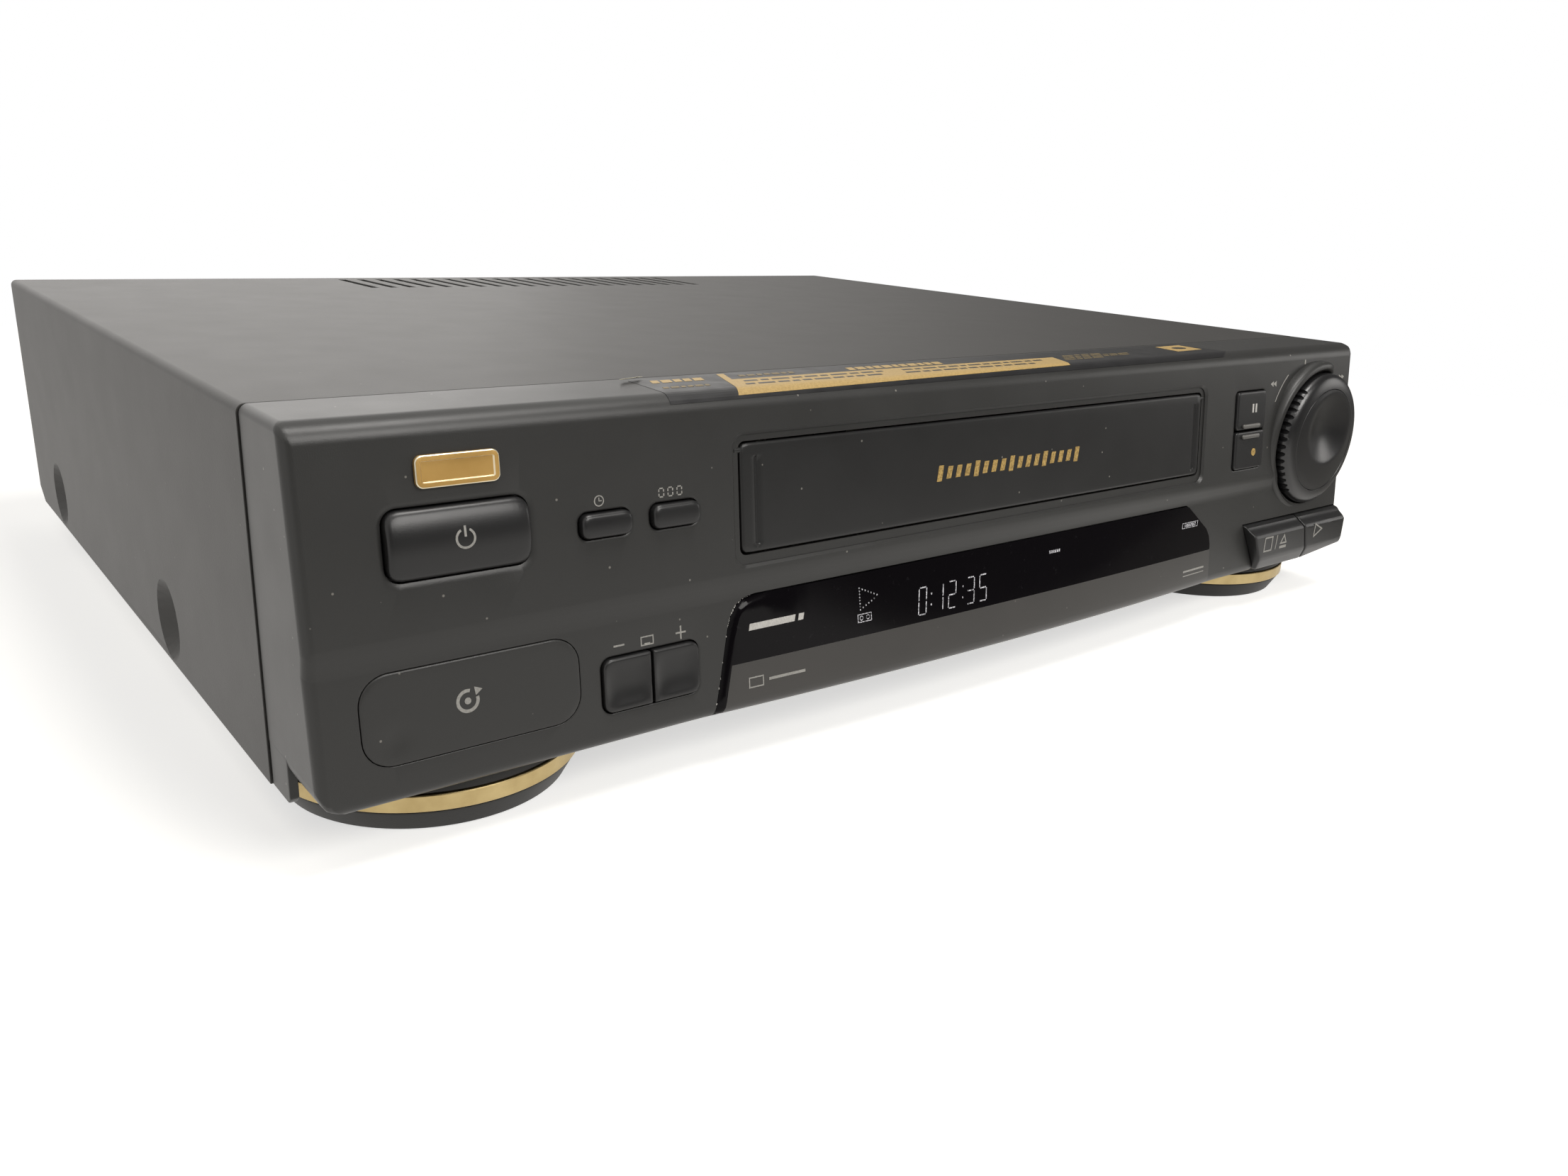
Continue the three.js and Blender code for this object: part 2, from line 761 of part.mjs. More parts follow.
// Pan: floor sheet, two upstands that take the cover screws, and posts for what stands on it
function basePan() {
  const floor = box(-coverInside + fit, coverInside - fit, fit, rearPanelBack + panRearMargin,
    frontBottom, panTop);
  let pan = solid(floor);
  for (const side of [-1, 1]) {
    const outer = side * flangeOuter;
    const inner = side * (flangeOuter - panSheet);
    const upstand = box(Math.min(outer, inner), Math.max(outer, inner), panFlangeFront,
      rearPanelY - panRearMargin, panTop - panSheet / 2, panTop + panFlangeHeight);
    pan = join(pan, upstand);
    for (const y of [frontDimpleY, rearDimpleY]) {
      const hole = rodAlongX(screwHoleRadius, Math.min(outer, inner) - overrun,
        Math.max(outer, inner) + overrun, smallSides, y, dimpleZ);
      const notchHalf = dimpleRadius + dimpleBack + fit;
      const notch = box(Math.min(outer, side * half), Math.max(outer, side * half),
        y - notchHalf, y + notchHalf, frontBottom - overrun, panTop + overrun);
      pan = cut(pan, hole, notch);
    }
  }
  for (const [x, y] of deckPostPlaces()) {
    pan = join(pan, rod(postRadius, panTop - panSheet / 2, deckZ - fit, pinSides, x, y));
  }
  for (const [x, y] of boardPostPlaces()) {
    pan = join(pan, rod(postRadius, panTop - panSheet / 2, boardZ - fit, pinSides, x, y));
  }
  const camPin = rod(camPinRadius, panTop - panSheet / 2, gearZ + gearThickness, pinSides,
    camGearX(), armPivotY());
  const camSeat = rod(camPinRadius * 2, panTop - panSheet / 2, gearZ - fit, pinSides,
    camGearX(), armPivotY());
  add("base_pan", join(pan, camPin, camSeat), zincSteel);
}
const deckPostPlaces = () => [-1, 1].flatMap((side) =>
  [deckFrontY + deckPostInset, deckRearY - deckPostInset].map((y) => [
    mechanismX + side * (deckHalfWidth - deckPostInset),
    y,
  ]),
);
const boardLeft = -half + boardLeftMargin;
const boardRight = mechanismX - deckHalfWidth - boardMechanismGap;
const powerBoardFrontY = mainBoardFrontY + mainBoardLength + powerBoardGap;
const boardPostPlaces = () => [
  [mainBoardFrontY, mainBoardLength],
  [powerBoardFrontY, powerBoardLength],
].flatMap(([front, length]) =>
  [boardLeft + deckPostInset, boardRight - deckPostInset].flatMap((x) =>
    [front + deckPostInset, front + length - deckPostInset].map((y) => [x, y]),
  ),
);

// Feet: two large discs with a metallic ring at the front, two small feet at the rear
function frontFoot(side, name, ringName) {
  const groove = footRingRadius - footRingWall - fit;
  const profile = [
    [0, 0],
    [frontFootBaseRadius, 0],
    [frontFootRadius, footTaperHeight],
    [groove, footTaperHeight],
    [groove, footRingTop + fit],
    [frontFootRadius, footRingTop + fit],
    [frontFootRadius, footHeight],
    [0, footHeight],
  ];
  const ring = [
    [footRingRadius - footRingWall, footRingBottom],
    [footRingRadius, footRingBottom],
    [footRingRadius, footRingTop],
    [footRingRadius - footRingWall, footRingTop],
    [footRingRadius - footRingWall, footRingBottom],
  ];
  const place = [side * frontFootX, frontFootY, 0];
  add(name, turned(profile, fineSides), footPlastic, place);
  add(ringName, turned(ring, fineSides), goldTrim, place);
}
function rearFoot(side, name) {
  const profile = [[0, 0], [rearFootBaseRadius, 0], [rearFootRadius, footTaperHeight],
    [rearFootRadius, footHeight], [0, footHeight]];
  add(name, turned(profile, roundSides), footPlastic, [side * rearFootX, rearFootY, 0]);
}

// Cover screws: pan head in the dimple, shaft through cover and upstand
function coverScrew(side, y, name) {
  const seat = half - dimpleDepth + fit;
  const head = rodAlongX(screwHeadRadius, 0, screwHeadHeight, smallSides, 0, 0);
  const shaft = rodAlongX(screwShaftRadius, -screwLength, screwHeadHeight / 2, pinSides, 0, 0);
  const place = [side * seat, y, dimpleZ];
  add(name, join(head, shaft), zincSteel, place, 0, side > 0 ? 0 : Math.PI);
}

// Front moulding: one profile carried across the width, bowed forward along its lower edge
function bow(x, drop) {
  const across = (x - bowCentreX) / bowHalfSpan;
  const down = (drop - lowerTopDrop) / (bodyHeight - frontBottom - lowerTopDrop);
  return bowDepth * Math.max(0, 1 - across * across) * THREE.MathUtils.clamp(down, 0, 1);
}
function frontProfile(x, wall) {
  const top = bodyHeight - wall;
  const bottom = frontBottom + wall;
  const radius = Math.max(topEdgeRadius - wall, topEdgeRadius / 6);
  const chin = Math.max(chinRadius - wall, chinRadius / 4);
  const bottomDrop = bodyHeight - bottom;
  const edge = Math.max(0, Math.abs(x) - (frontHalf - sideEdgeRadius));
  const back = wall + sideEdgeRadius - Math.sqrt(Math.max(0, sideEdgeRadius ** 2 - edge ** 2));
  const point = (reach, z) => [Math.min(back - reach, 0), z];
  const arc = (reach, z, r, from, to) => Array.from({ length: cornerSteps + 1 }, (_, i) => {
    const angle = from + ((to - from) * i) / cornerSteps;
    return point(reach - r + r * Math.cos(angle), z + r * Math.sin(angle));
  });
  const chinDrop = bottomDrop - chin;
  const chinReach = lowerReach(chinDrop) + bow(x, chinDrop);
  return [
    [wall > 0 ? overrun : 0, top],
    ...arc(topEdgeReach, top - radius, radius, Math.PI / 2, 0),
    point(upperReach(creaseDrop), bodyHeight - creaseDrop),
    point(lowerReach(lowerTopDrop), bodyHeight - lowerTopDrop),
    ...arc(chinReach, bottom + chin, chin, 0, -Math.PI / 2),
    [wall > 0 ? overrun : 0, bottom],
  ];
}
function frontStations(limit) {
  const turn = limit - sideEdgeRadius;
  const across = [-1, -0.75, -0.5, -0.25, 0, 0.25, 0.5, 0.75, 1];
  const ends = [turn, limit - sideEdgeRadius / 2, limit - sideEdgeRadius / 8, limit];
  return [
    ...ends.map((x) => -x).reverse(),
    ...across.map((share) => bowCentreX + share * bowHalfSpan),
    ...ends,
  ];
}
function frontShell(wall) {
  const limit = frontHalf - wall;
  const rings = frontStations(limit).map((x) =>
    frontProfile(x, wall).map(([y, z]) => [x, y, z]),
  );
  return loft(rings, ([, y, z]) => new THREE.Vector2(y, z));
}
// A slab that follows the bowed lower face, between two depths behind it
function lowerSlab(frontOffset, backOffset) {
  const z0 = frontBottom - overrun;
  const z1 = bodyHeight - lowerTopDrop + overrun;
  const rings = frontStations(frontHalf).map((x) => {
    const at = (z, offset) => {
      const drop = bodyHeight - z;
      return [x, offset - lowerReach(drop) - bow(x, drop), z];
    };
    return [at(z0, frontOffset), at(z0, backOffset), at(z1, backOffset), at(z1, frontOffset)];
  });
  return loft(rings, ([, y, z]) => new THREE.Vector2(y, z));
}
function windowOutline(grow, bottom) {
  const z = (drop) => bodyHeight - drop;
  const slant = (windowShoulderX - windowLeftBottomX) / (z(windowShoulderDrop) - frontBottom);
  return [
    [windowLeftBottomX - grow + slant * (bottom - frontBottom - grow), bottom],
    [windowRightX + grow, bottom],
    [windowRightX + grow, z(windowRightShoulderDrop + windowShoulderHeight)],
    [windowRightShoulderX + grow, z(windowRightShoulderDrop - grow)],
    [windowRightTopX + grow, z(windowTopDrop - grow)],
    [windowLeftTopX - grow, z(windowTopDrop - grow)],
    [windowShoulderX - grow, z(windowShoulderDrop - grow)],
  ];
}
// The opening for the stop and play keys, which also runs out through the bottom wall
function transportOutline(grow) {
  const top = bodyHeight - transportTopDrop + grow;
  const bottom = bodyHeight - transportBottomDrop;
  return [
    [stopLeftTopX - grow, top],
    [stopLeftBottomX - grow, bottom],
    [stopLeftBottomX - grow, frontBottom - overrun],
    [transportRightX + grow, frontBottom - overrun],
    [transportRightX + grow, top],
  ];
}
function facePrism(shape, depth, proud, place) {
  return fromFace(prism(shape, -depth, proud), place);
}
const doorHeight = slotHeight - 2 * doorGap;
const doorWidth = slotWidth - 2 * doorGap;
const doorAxisUp = doorHeight / 2 - doorAxisBelowTop;
const doorAxisOut = -doorSetback - doorThickness / 2;

function frontBezel() {
  let front = cut(frontShell(0), frontShell(frontWall));
  for (const side of [-1, 1]) {
    const cornerX = side * (frontHalf - lowerCornerRadius);
    const square = box(Math.min(cornerX, side * (half + overrun)),
      Math.max(cornerX, side * (half + overrun)), -frontReach - overrun, -skirtLength,
      frontBottom - overrun, frontBottom + lowerCornerRadius);
    const keep = rodAlongY(lowerCornerRadius, -frontReach - 2 * overrun, 0, roundSides,
      cornerX, frontBottom + lowerCornerRadius);
    front = cut(front, cut(square, keep));
    const skirtOuter = side * frontHalf;
    const skirtInner = side * (frontHalf - skirtWall);
    front = join(front, box(Math.min(skirtOuter, skirtInner), Math.max(skirtOuter, skirtInner),
      -skirtLength, 0, coverBottom, frontBottom + lowerCornerRadius));
    const gussetOuter = side * (frontHalf - frontWall / 2);
    const gussetInner = side * (half - frontBoardSideMargin + fit);
    front = join(front, box(Math.min(gussetOuter, gussetInner),
      Math.max(gussetOuter, gussetInner), -upperReach(topEdgeRadius), 0,
      frontBottom + frontWall / 2, frontBottom + lowerCornerRadius));
  }
  const place = upperPlace(doorCentreX, slotMiddleDrop);
  const ears = [-1, 1].map((side) => {
    const near = side * (slotWidth / 2 + fit);
    const far = side * (slotWidth / 2 + earWidth);
    return fromFace(box(Math.min(near, far), Math.max(near, far), slotHeight / 2 - earHeight,
      slotHeight / 2 + doorGap, -frontWall - earDepth, -frontWall / 2), place);
  });
  front = join(front, ...ears);
  const lip = roundedRect(slotWidth + 2 * lipWidth, slotHeight + lipWidth + lipLowerWidth,
    slotCornerRadius + lipWidth, 0, (lipWidth - lipLowerWidth) / 2);
  const pinHole = fromFace(rodAlongX(doorPinRadius + fit, -slotWidth / 2 - doorPinLength,
    slotWidth / 2 + doorPinLength, pinSides, doorAxisUp, doorAxisOut), place);
  front = cut(
    front,
    facePrism(lip, lipDepth, overrun * 2, place),
    facePrism(roundedRect(slotWidth, slotHeight, slotCornerRadius), frontWall + earDepth * 2,
      overrun * 2, place),
    pinHole,
  );
  const windowHole = common(
    lowerSlab(-overrun, windowThickness - windowProudHeight + fit),
    prismAlongY(windowOutline(fit, frontBottom - overrun), -frontReach - overrun, 0),
  );
  const seat = common(
    lowerSlab(frontWall / 2, windowThickness - windowProudHeight + fit + frontWall),
    prismAlongY(windowOutline(frontWall, frontBottom + frontWall / 2), -frontReach - overrun, 0),
  );
  const tubeHole = box(tubeLeftX - fit, tubeLeftX + tubeWidth + fit, -frontReach - overrun, 0,
    bodyHeight - tubeTopDrop - tubeHeight - fit, bodyHeight - tubeTopDrop + fit);
  front = cut(join(front, seat), windowHole, tubeHole);
  const transportHole = prismAlongY(transportOutline(keyGap), -frontReach - overrun,
    -transportBackReach + frontWall);
  front = cut(front, transportHole, ...faceKeys().map((key) => key.opening));
  front = join(front, ...boardBosses());
  front = dialWell(front);
  add("front_bezel", front, frontPlastic);
}
function dialWell(front) {
  const wellRadius = ringRadius + wellGap;
  const inside = box(-half, frontHalf, -frontReach, 0, frontBottom, bodyHeight);
  const collar = common(
    rodAlongY(collarRadius, -collarReach, -wellFloorReach + wellFloorWall, fineSides, dialX, dialZ),
    inside,
  );
  const well = rodAlongY(wellRadius, -frontReach - overrun, -wellFloorReach, fineSides,
    dialX, dialZ);
  const hole = rodAlongY(encoderBushRadius + fit, -frontReach, 0, roundSides, dialX, dialZ);
  return cut(join(front, collar), well, hole);
}
// Posts that carry the board behind the front, between the keys
function boardBosses() {
  const low = bodyHeight - creaseDrop - bossInset / 2;
  const high = bodyHeight - frontBoardTopMargin - bossInset;
  const left = -half + frontBoardSideMargin + bossInset;
  const places = [[left, high], [timerX, low], [dialX - ringRadius - bossInset, high],
    [pauseX - bossInset, low]];
  return places.map(([x, z]) => {
    const drop = bodyHeight - z;
    const reach = drop < creaseDrop ? upperReach(drop) : lowerReach(drop);
    return rodAlongY(bossRadius, frontWall / 2 - reach, boardFront - fit, pinSides, x, z);
  });
}

// Display window: smoked panel bowed like the face it closes, turned under at the chin
function displayWindow() {
  const panel = common(
    lowerSlab(-windowProudHeight, windowThickness - windowProudHeight),
    prismAlongY(windowOutline(0, frontBottom + windowChinMargin), -frontReach - overrun, 0),
  );
  add("display_window", common(panel, frontShell(-windowProudHeight)), smokedPanel);
}
function displayTube() {
  const top = bodyHeight - tubeTopDrop;
  add("display_tube", box(tubeLeftX, tubeLeftX + tubeWidth, -tubeFrontReach, boardFront - fit,
    top - tubeHeight, top), smokedPanel);
}

// Door: flat flap that swings in about two pins near its top edge
function cassetteDoor() {
  const back = -doorSetback - doorThickness;
  const flap = pillow(doorWidth, doorHeight, slotCornerRadius, [
    [back, 0],
    [-doorSetback - doorBevel, 0],
    [-doorSetback, doorBevel],
  ]);
  const pin = rodAlongX(doorPinRadius, -doorWidth / 2 - doorPinLength + fit,
    doorWidth / 2 + doorPinLength - fit, pinSides, doorAxisUp, doorAxisOut);
  const place = upperPlace(doorCentreX, slotMiddleDrop);
  add("cassette_door", join(flap, pin), frontPlastic, place, faceTurn);
}

// Keys: crowned cap, flange behind the wall and a stem that reaches its switch
function faceKeys() {
  const pairOffset = (programWidth + pairGap) / 2;
  const stack = (pauseHeight + pairGap) / 2;
  const keys = [
    ["operate_button", upperPlace(operateX, operateDrop), operateWidth, operateHeight,
      operateRadius, operateProudHeight, 1, 1],
    ["timer_button", upperPlace(timerX, smallKeyDrop), smallKeyWidth, smallKeyHeight,
      smallKeyRadius, smallKeyProudHeight, 1, 1],
    ["counter_reset_button", upperPlace(counterX, smallKeyDrop), smallKeyWidth,
      smallKeyHeight, smallKeyRadius, smallKeyProudHeight, 1, 1],
    ["auto_set_button", lowerPlace(setPanelX, setPanelDrop), setPanelWidth, setPanelHeight,
      setPanelRadius, setPanelProudHeight, 1, 1],
    ["program_down_button", lowerPlace(programSplitX - pairOffset, programDrop), programWidth,
      programHeight, programRadius, programProudHeight, 0, 1],
    ["program_up_button", lowerPlace(programSplitX + pairOffset, programDrop), programWidth,
      programHeight, programRadius, programProudHeight, 0, 1],
    ["pause_button", upperPlace(pauseX, pauseSplitDrop - stack), pauseWidth, pauseHeight,
      pauseRadius, pauseProudHeight, 1, 0],
    ["record_button", upperPlace(pauseX, pauseSplitDrop + stack), pauseWidth, pauseHeight,
      pauseRadius, pauseProudHeight, 1, 0],
  ];
  return keys.map(([name, place, width, height, radius, proud, wideX, wideY]) => {
    const flangeFront = -frontWall - fit;
    const flangeBack = flangeFront - keyFlangeWidth;
    const cap = pillow(width, height, radius, [
      [flangeBack, 0],
      [proud - keyCrownHeight, 0],
      [proud - keyShoulderHeight, keyShoulderWidth],
      [proud, keyTopInsetWidth],
    ]);
    const flange = box(-width / 2 - wideX * keyFlangeWidth, width / 2 + wideX * keyFlangeWidth,
      -height / 2 - wideY * keyFlangeWidth, height / 2 + wideY * keyFlangeWidth, flangeBack, flangeFront);
    const reach = -place[1];
    const stemLength = (reach + switchTop - fit - keyTravelDepth) / Math.cos(lean);
    const stem = box(-keyStemWidth / 2, keyStemWidth / 2, -keyStemWidth / 2, keyStemWidth / 2, -stemLength,
      flangeFront);
    const hole = roundedRect(width + 2 * keyGap, height + 2 * keyGap, radius + keyGap);
    const joined = join(cap, flange, stem);
    return { name, place, shape: joined, opening: facePrism(hole, frontWall * 2, overrun * 3, place) };
  });
}
function addFaceKeys() {
  for (const key of faceKeys()) add(key.name, key.shape, keyPlastic, key.place, faceTurn);
}
// The stop and play keys carry the lower right corner: a stepped wedge cut to their outlines
function transportProfile() {
  const z = (drop) => bodyHeight - drop;
  const tip = frontReach;
  return [
    [-transportBackReach, z(transportTopDrop)],
    [-transportUpperReach + transportLedgeDepth, z(transportTopDrop)],
    [-transportUpperReach, z(transportTopDrop + transportLedgeDepth)],
    [-tip, z(transportEdgeDrop)],
    [-tip, z(transportBevelDrop)],
    [-tip + transportBevelDepth, z(transportBottomDrop)],
    [-transportBackReach, z(transportBottomDrop)],
  ];
}
function transportKey(name, outline) {
  const wedge = common(
    prismAlongX(transportProfile(), stopLeftTopX - overrun, half),
    prismAlongY(outline, -frontReach - overrun, 0),
  );
  const xs = outline.map(([x]) => x);
  const middle = (Math.min(...xs) + Math.max(...xs)) / 2;
  const z = bodyHeight - (transportTopDrop + transportBottomDrop) / 2;
  const stem = box(middle - keyStemWidth / 2, middle + keyStemWidth / 2, -transportBackReach - overrun,
    switchTop - fit - keyTravelDepth, z - keyStemWidth / 2, z + keyStemWidth / 2);
  add(name, join(wedge, stem), keyPlastic);
}
function addTransportKeys() {
  const top = bodyHeight - transportTopDrop;
  const bottom = bodyHeight - transportBottomDrop;
  const gap = pairGap / 2;
  transportKey("stop_eject_button", [
    [stopLeftTopX, top],
    [stopLeftBottomX, bottom],
    [splitBottomX - gap, bottom],
    [splitTopX - gap, top],
  ]);
  transportKey("play_button", [
    [splitTopX + gap, top],
    [splitBottomX + gap, bottom],
    [transportRightX, bottom + playBottomRiseHeight],
    [transportRightX, top],
  ]);
}

// Dial: a sprung shuttle ring with finger ribs, a free jog disc, and the encoder behind both
function shuttleRing() {
  const back = wellFloorReach + fit;
  const bore = ringRadius - ringWallThickness;
  const profile = [
    [encoderBushRadius + runningFit, back],
    [ringRadius - knurlDepth, back],
    [ringRadius, back + ringWebThickness],
    [ringRadius, ringFrontReach - ringWebThickness],
    [ringRadius - ringWebThickness, ringFrontReach],
    [bore, ringFrontReach - ringWebThickness / 2],
    [bore, back + ringWebThickness],
    [encoderBushRadius + runningFit, back + ringWebThickness],
    [encoderBushRadius + runningFit, back],
  ];
  let ring = solid(turned(profile, fineSides));
  for (let i = 0; i < knurlCount; i++) {
    const angle = THREE.MathUtils.degToRad(knurlStartDegrees + i * knurlStepDegrees);
    const groove = box(ringRadius - knurlDepth, ringRadius + overrun, -knurlDepth, knurlDepth,
      back + ringWebThickness, ringFrontReach - ringWebThickness).rotateZ(angle);
    ring = cut(ring, groove);
  }
  add("shuttle_ring", ring, keyPlastic, [dialX, 0, dialZ], Math.PI / 2);
}
function jogDial() {
  const radius = ringRadius - ringWallThickness - runningFit;
  const disc = turned([
    [0, jogFrontReach - jogThickness],
    [radius, jogFrontReach - jogThickness],
    [radius, jogFrontReach - jogCrownHeight * 2],
    [radius - jogCrownHeight, jogFrontReach - jogCrownHeight],
    [radius / 2, jogFrontReach - jogCrownHeight / 4],
    [0, jogFrontReach],
  ], fineSides);
  const shaft = rod(jogShaftRadius, wellFloorReach, jogFrontReach - jogThickness + overrun,
    smallSides);
  add("jog_dial", join(disc, shaft), keyPlastic, [dialX, 0, dialZ], Math.PI / 2);
}
function dialEncoder() {
  const back = frontBoardReach + boardThickness + fit;
  const front = wellFloorReach - wellFloorWall - fit;
  const body = box(-encoderSize / 2, encoderSize / 2, -encoderSize / 2, encoderSize / 2,
    back, Math.min(front, back + encoderDepth));
  const bush = rod(encoderBushRadius, back, wellFloorReach + ringWebThickness + 2 * fit, roundSides);
  const bore = rod(jogShaftRadius + fit, wellFloorReach - fit, ringFrontReach, smallSides);
  add("dial_encoder", cut(join(body, bush), bore), zincSteel, [dialX, 0, dialZ], Math.PI / 2);
}

// Board behind the front, cut out round the cassette way, with a switch behind each key
function frontBoard() {
  const left = -half + frontBoardSideMargin;
  const bottom = bodyHeight - frontBoardBottomDrop;
  const top = bodyHeight - frontBoardTopMargin;
  const slotFloor = bodyHeight - slotTopDrop - slotHeight - frontBoardSlotMargin;
  const slotHalf = slotWidth / 2 + frontBoardSlotMargin;
  const outline = [
    [left, bottom],
    [-left, bottom],
    [-left, top],
    [doorCentreX + slotHalf, top],
    [doorCentreX + slotHalf, slotFloor],
    [doorCentreX - slotHalf, slotFloor],
    [doorCentreX - slotHalf, top],
    [left, top],
  ];
  let board = solid(prismAlongY(outline, boardFront, boardBack));
  const middle = (a, b) => (a + b) / 2;
  const transportZ = bodyHeight - middle(transportTopDrop, transportBottomDrop);
  const switches = [
    ...faceKeys().map(({ place: [x, y, z] }) => [x, z - slope * (-y + switchTop)]),
    [middle(stopLeftTopX, splitBottomX), transportZ],
    [middle(splitTopX, transportRightX), transportZ],
  ];
  for (const [x, z] of switches) {
    board = join(board, box(x - switchSize / 2, x + switchSize / 2, switchTop,
      boardFront + boardThickness / 2, z - switchSize / 2, z + switchSize / 2));
  }
  add("front_board", board, boardGreen);
}

// Rear panel and what shows through it
function avSocket(name, z) {
  const front = rearPanelBack + avSocketProudDepth;
  const body = box(avSocketX - avSocketWidth / 2, avSocketX + avSocketWidth / 2,
    front - avSocketDepth, front, z - avSocketHeight / 2, z + avSocketHeight / 2);
  const ring = (inset) => roundedRect(avSocketWidth - 2 * inset, avSocketHeight - 2 * inset,
    shroudInset, avSocketX, z);
  const groove = cut(
    prismAlongY(ring(shroudInset), front - shroudDepth, front + overrun),
    prismAlongY(ring(shroudInset + shroudGroove), front - shroudDepth - overrun,
      front + 2 * overrun),
  );
  add(name, cut(body, groove), socketPlastic);
}
function rfUnit() {
  const back = rearPanelY - fit;
  const bottom = panTop + fit;
  let can = solid(box(rfUnitX - rfUnitWidth / 2, rfUnitX + rfUnitWidth / 2, back - rfUnitDepth,
    back, bottom, bottom + rfUnitHeight));
  for (const side of [-1, 1]) {
    const x = rfUnitX + (side * aerialSpacing) / 2;
    const z = bottom + aerialLegHeight;
    const end = coverDepth + rearReach;
    can = join(can, rodAlongY(aerialRadius, back - overrun, end, roundSides, x, z));
    can = cut(can, rodAlongY(aerialBoreRadius, end - aerialBoreDepth, end + overrun,
      pinSides, x, z));
  }
  add("rf_unit", can, zincSteel);
}
function mainsInlet() {
  const face = rearPanelBack + fit + inletFlangeWidth;
  const flange = prismAlongY(roundedRect(inletWidth + 2 * inletFlangeWidth,
    inletHeight + 2 * inletFlangeWidth, inletFlangeWidth * 2, inletX, inletZ), rearPanelBack + fit, face);
  const body = box(inletX - inletWidth / 2 + fit, inletX + inletWidth / 2 - fit,
    face - inletDepth, face - inletFlangeWidth / 2, inletZ - inletHeight / 2 + fit,
    inletZ + inletHeight / 2 - fit);
  const recess = prismAlongY(roundedRect(inletRecessWidth, inletRecessHeight,
    inletRecessHeight / 3, inletX, inletZ), face - inletRecessDepth, face + overrun);
  const pins = [-1, 1].map((side) => rodAlongY(inletPinRadius, face - inletRecessDepth - overrun,
    face - inletRecessDepth + inletPinLength, smallSides,
    inletX + (side * inletPinSpacing) / 2, inletZ));
  add("mains_inlet", join(cut(join(flange, body), recess), ...pins), socketPlastic);
}
function rearPanel() {
  let panel = solid(box(-coverInside + fit, coverInside - fit, rearPanelY, rearPanelBack,
    panTop + fit, bodyHeight - coverSheet - fit));
  const through = (x, z, width, height) => box(x - width / 2, x + width / 2,
    rearPanelY - overrun, rearPanelBack + overrun, z - height / 2, z + height / 2);
  for (const z of [avSocketLowerZ, avSocketLowerZ + avSocketSpacing]) {
    panel = cut(panel, through(avSocketX, z, avSocketWidth + 2 * fit, avSocketHeight + 2 * fit));
  }
  panel = cut(panel, through(inletX, inletZ, inletWidth, inletHeight));
  for (const side of [-1, 1]) {
    panel = cut(panel, rodAlongY(aerialRadius + fit, rearPanelY - overrun,
      rearPanelBack + overrun, roundSides, rfUnitX + (side * aerialSpacing) / 2,
      panTop + fit + aerialLegHeight));
  }
  add("rear_panel", panel, zincSteel);
}

// Boards at the left: signal board with shield and chip, supply board with its parts
function mainBoard() {
  const top = boardZ + boardThickness;
  const board = box(boardLeft, boardRight, mainBoardFrontY, mainBoardFrontY + mainBoardLength,
    boardZ, top);
  const middle = (boardLeft + boardRight) / 2;
  const shieldY = mainBoardFrontY + mainBoardLength - shieldLength;
  const shield = box(middle - shieldWidth / 2, middle + shieldWidth / 2, shieldY - deckPostInset,
    shieldY + shieldLength - deckPostInset, top - boardThickness / 2, top + shieldHeight);
  const chipY = mainBoardFrontY + chipSize * 1.5;
  const chip = box(middle - chipSize / 2, middle + chipSize / 2, chipY - chipSize / 2,
    chipY + chipSize / 2, top - boardThickness / 2, top + chipHeight);
  add("main_board", join(board, shield, chip), boardGreen);
}
const transformerX = boardRight - transformerWidth / 2 - deckPostInset;
const transformerY = powerBoardFrontY + transformerLength;
function powerBoard() {
  const top = boardZ + boardThickness;
  const board = box(boardLeft, boardRight, powerBoardFrontY, powerBoardFrontY + powerBoardLength,
    boardZ, top);
  const canX = boardLeft + capacitorRadius + deckPostInset;
  const can = rod(capacitorRadius, top - boardThickness / 2, top + capacitorHeight, roundSides,
    canX, powerBoardFrontY + capacitorRadius * 2);
  const sinkY = powerBoardFrontY + capacitorRadius * 4;
  const sink = box(canX - heatSinkWidth / 2, canX + heatSinkWidth / 2, sinkY,
    sinkY + heatSinkLength, top - boardThickness / 2, top + heatSinkHeight);
  add("power_board", join(board, can, sink), boardGreen);
}
function transformer() {
  const z = boardZ + boardThickness + fit;
  const core = box(transformerX - transformerWidth / 2, transformerX + transformerWidth / 2,
    transformerY - transformerCore / 2, transformerY + transformerCore / 2, z,
    z + transformerHeight);
  const winding = box(transformerX - transformerWidth / 2 + transformerWinding,
    transformerX + transformerWidth / 2 - transformerWinding,
    transformerY - transformerLength / 2, transformerY + transformerLength / 2, z,
    z + transformerHeight - transformerWinding);
  add("transformer", join(core, winding), ferrite);
}

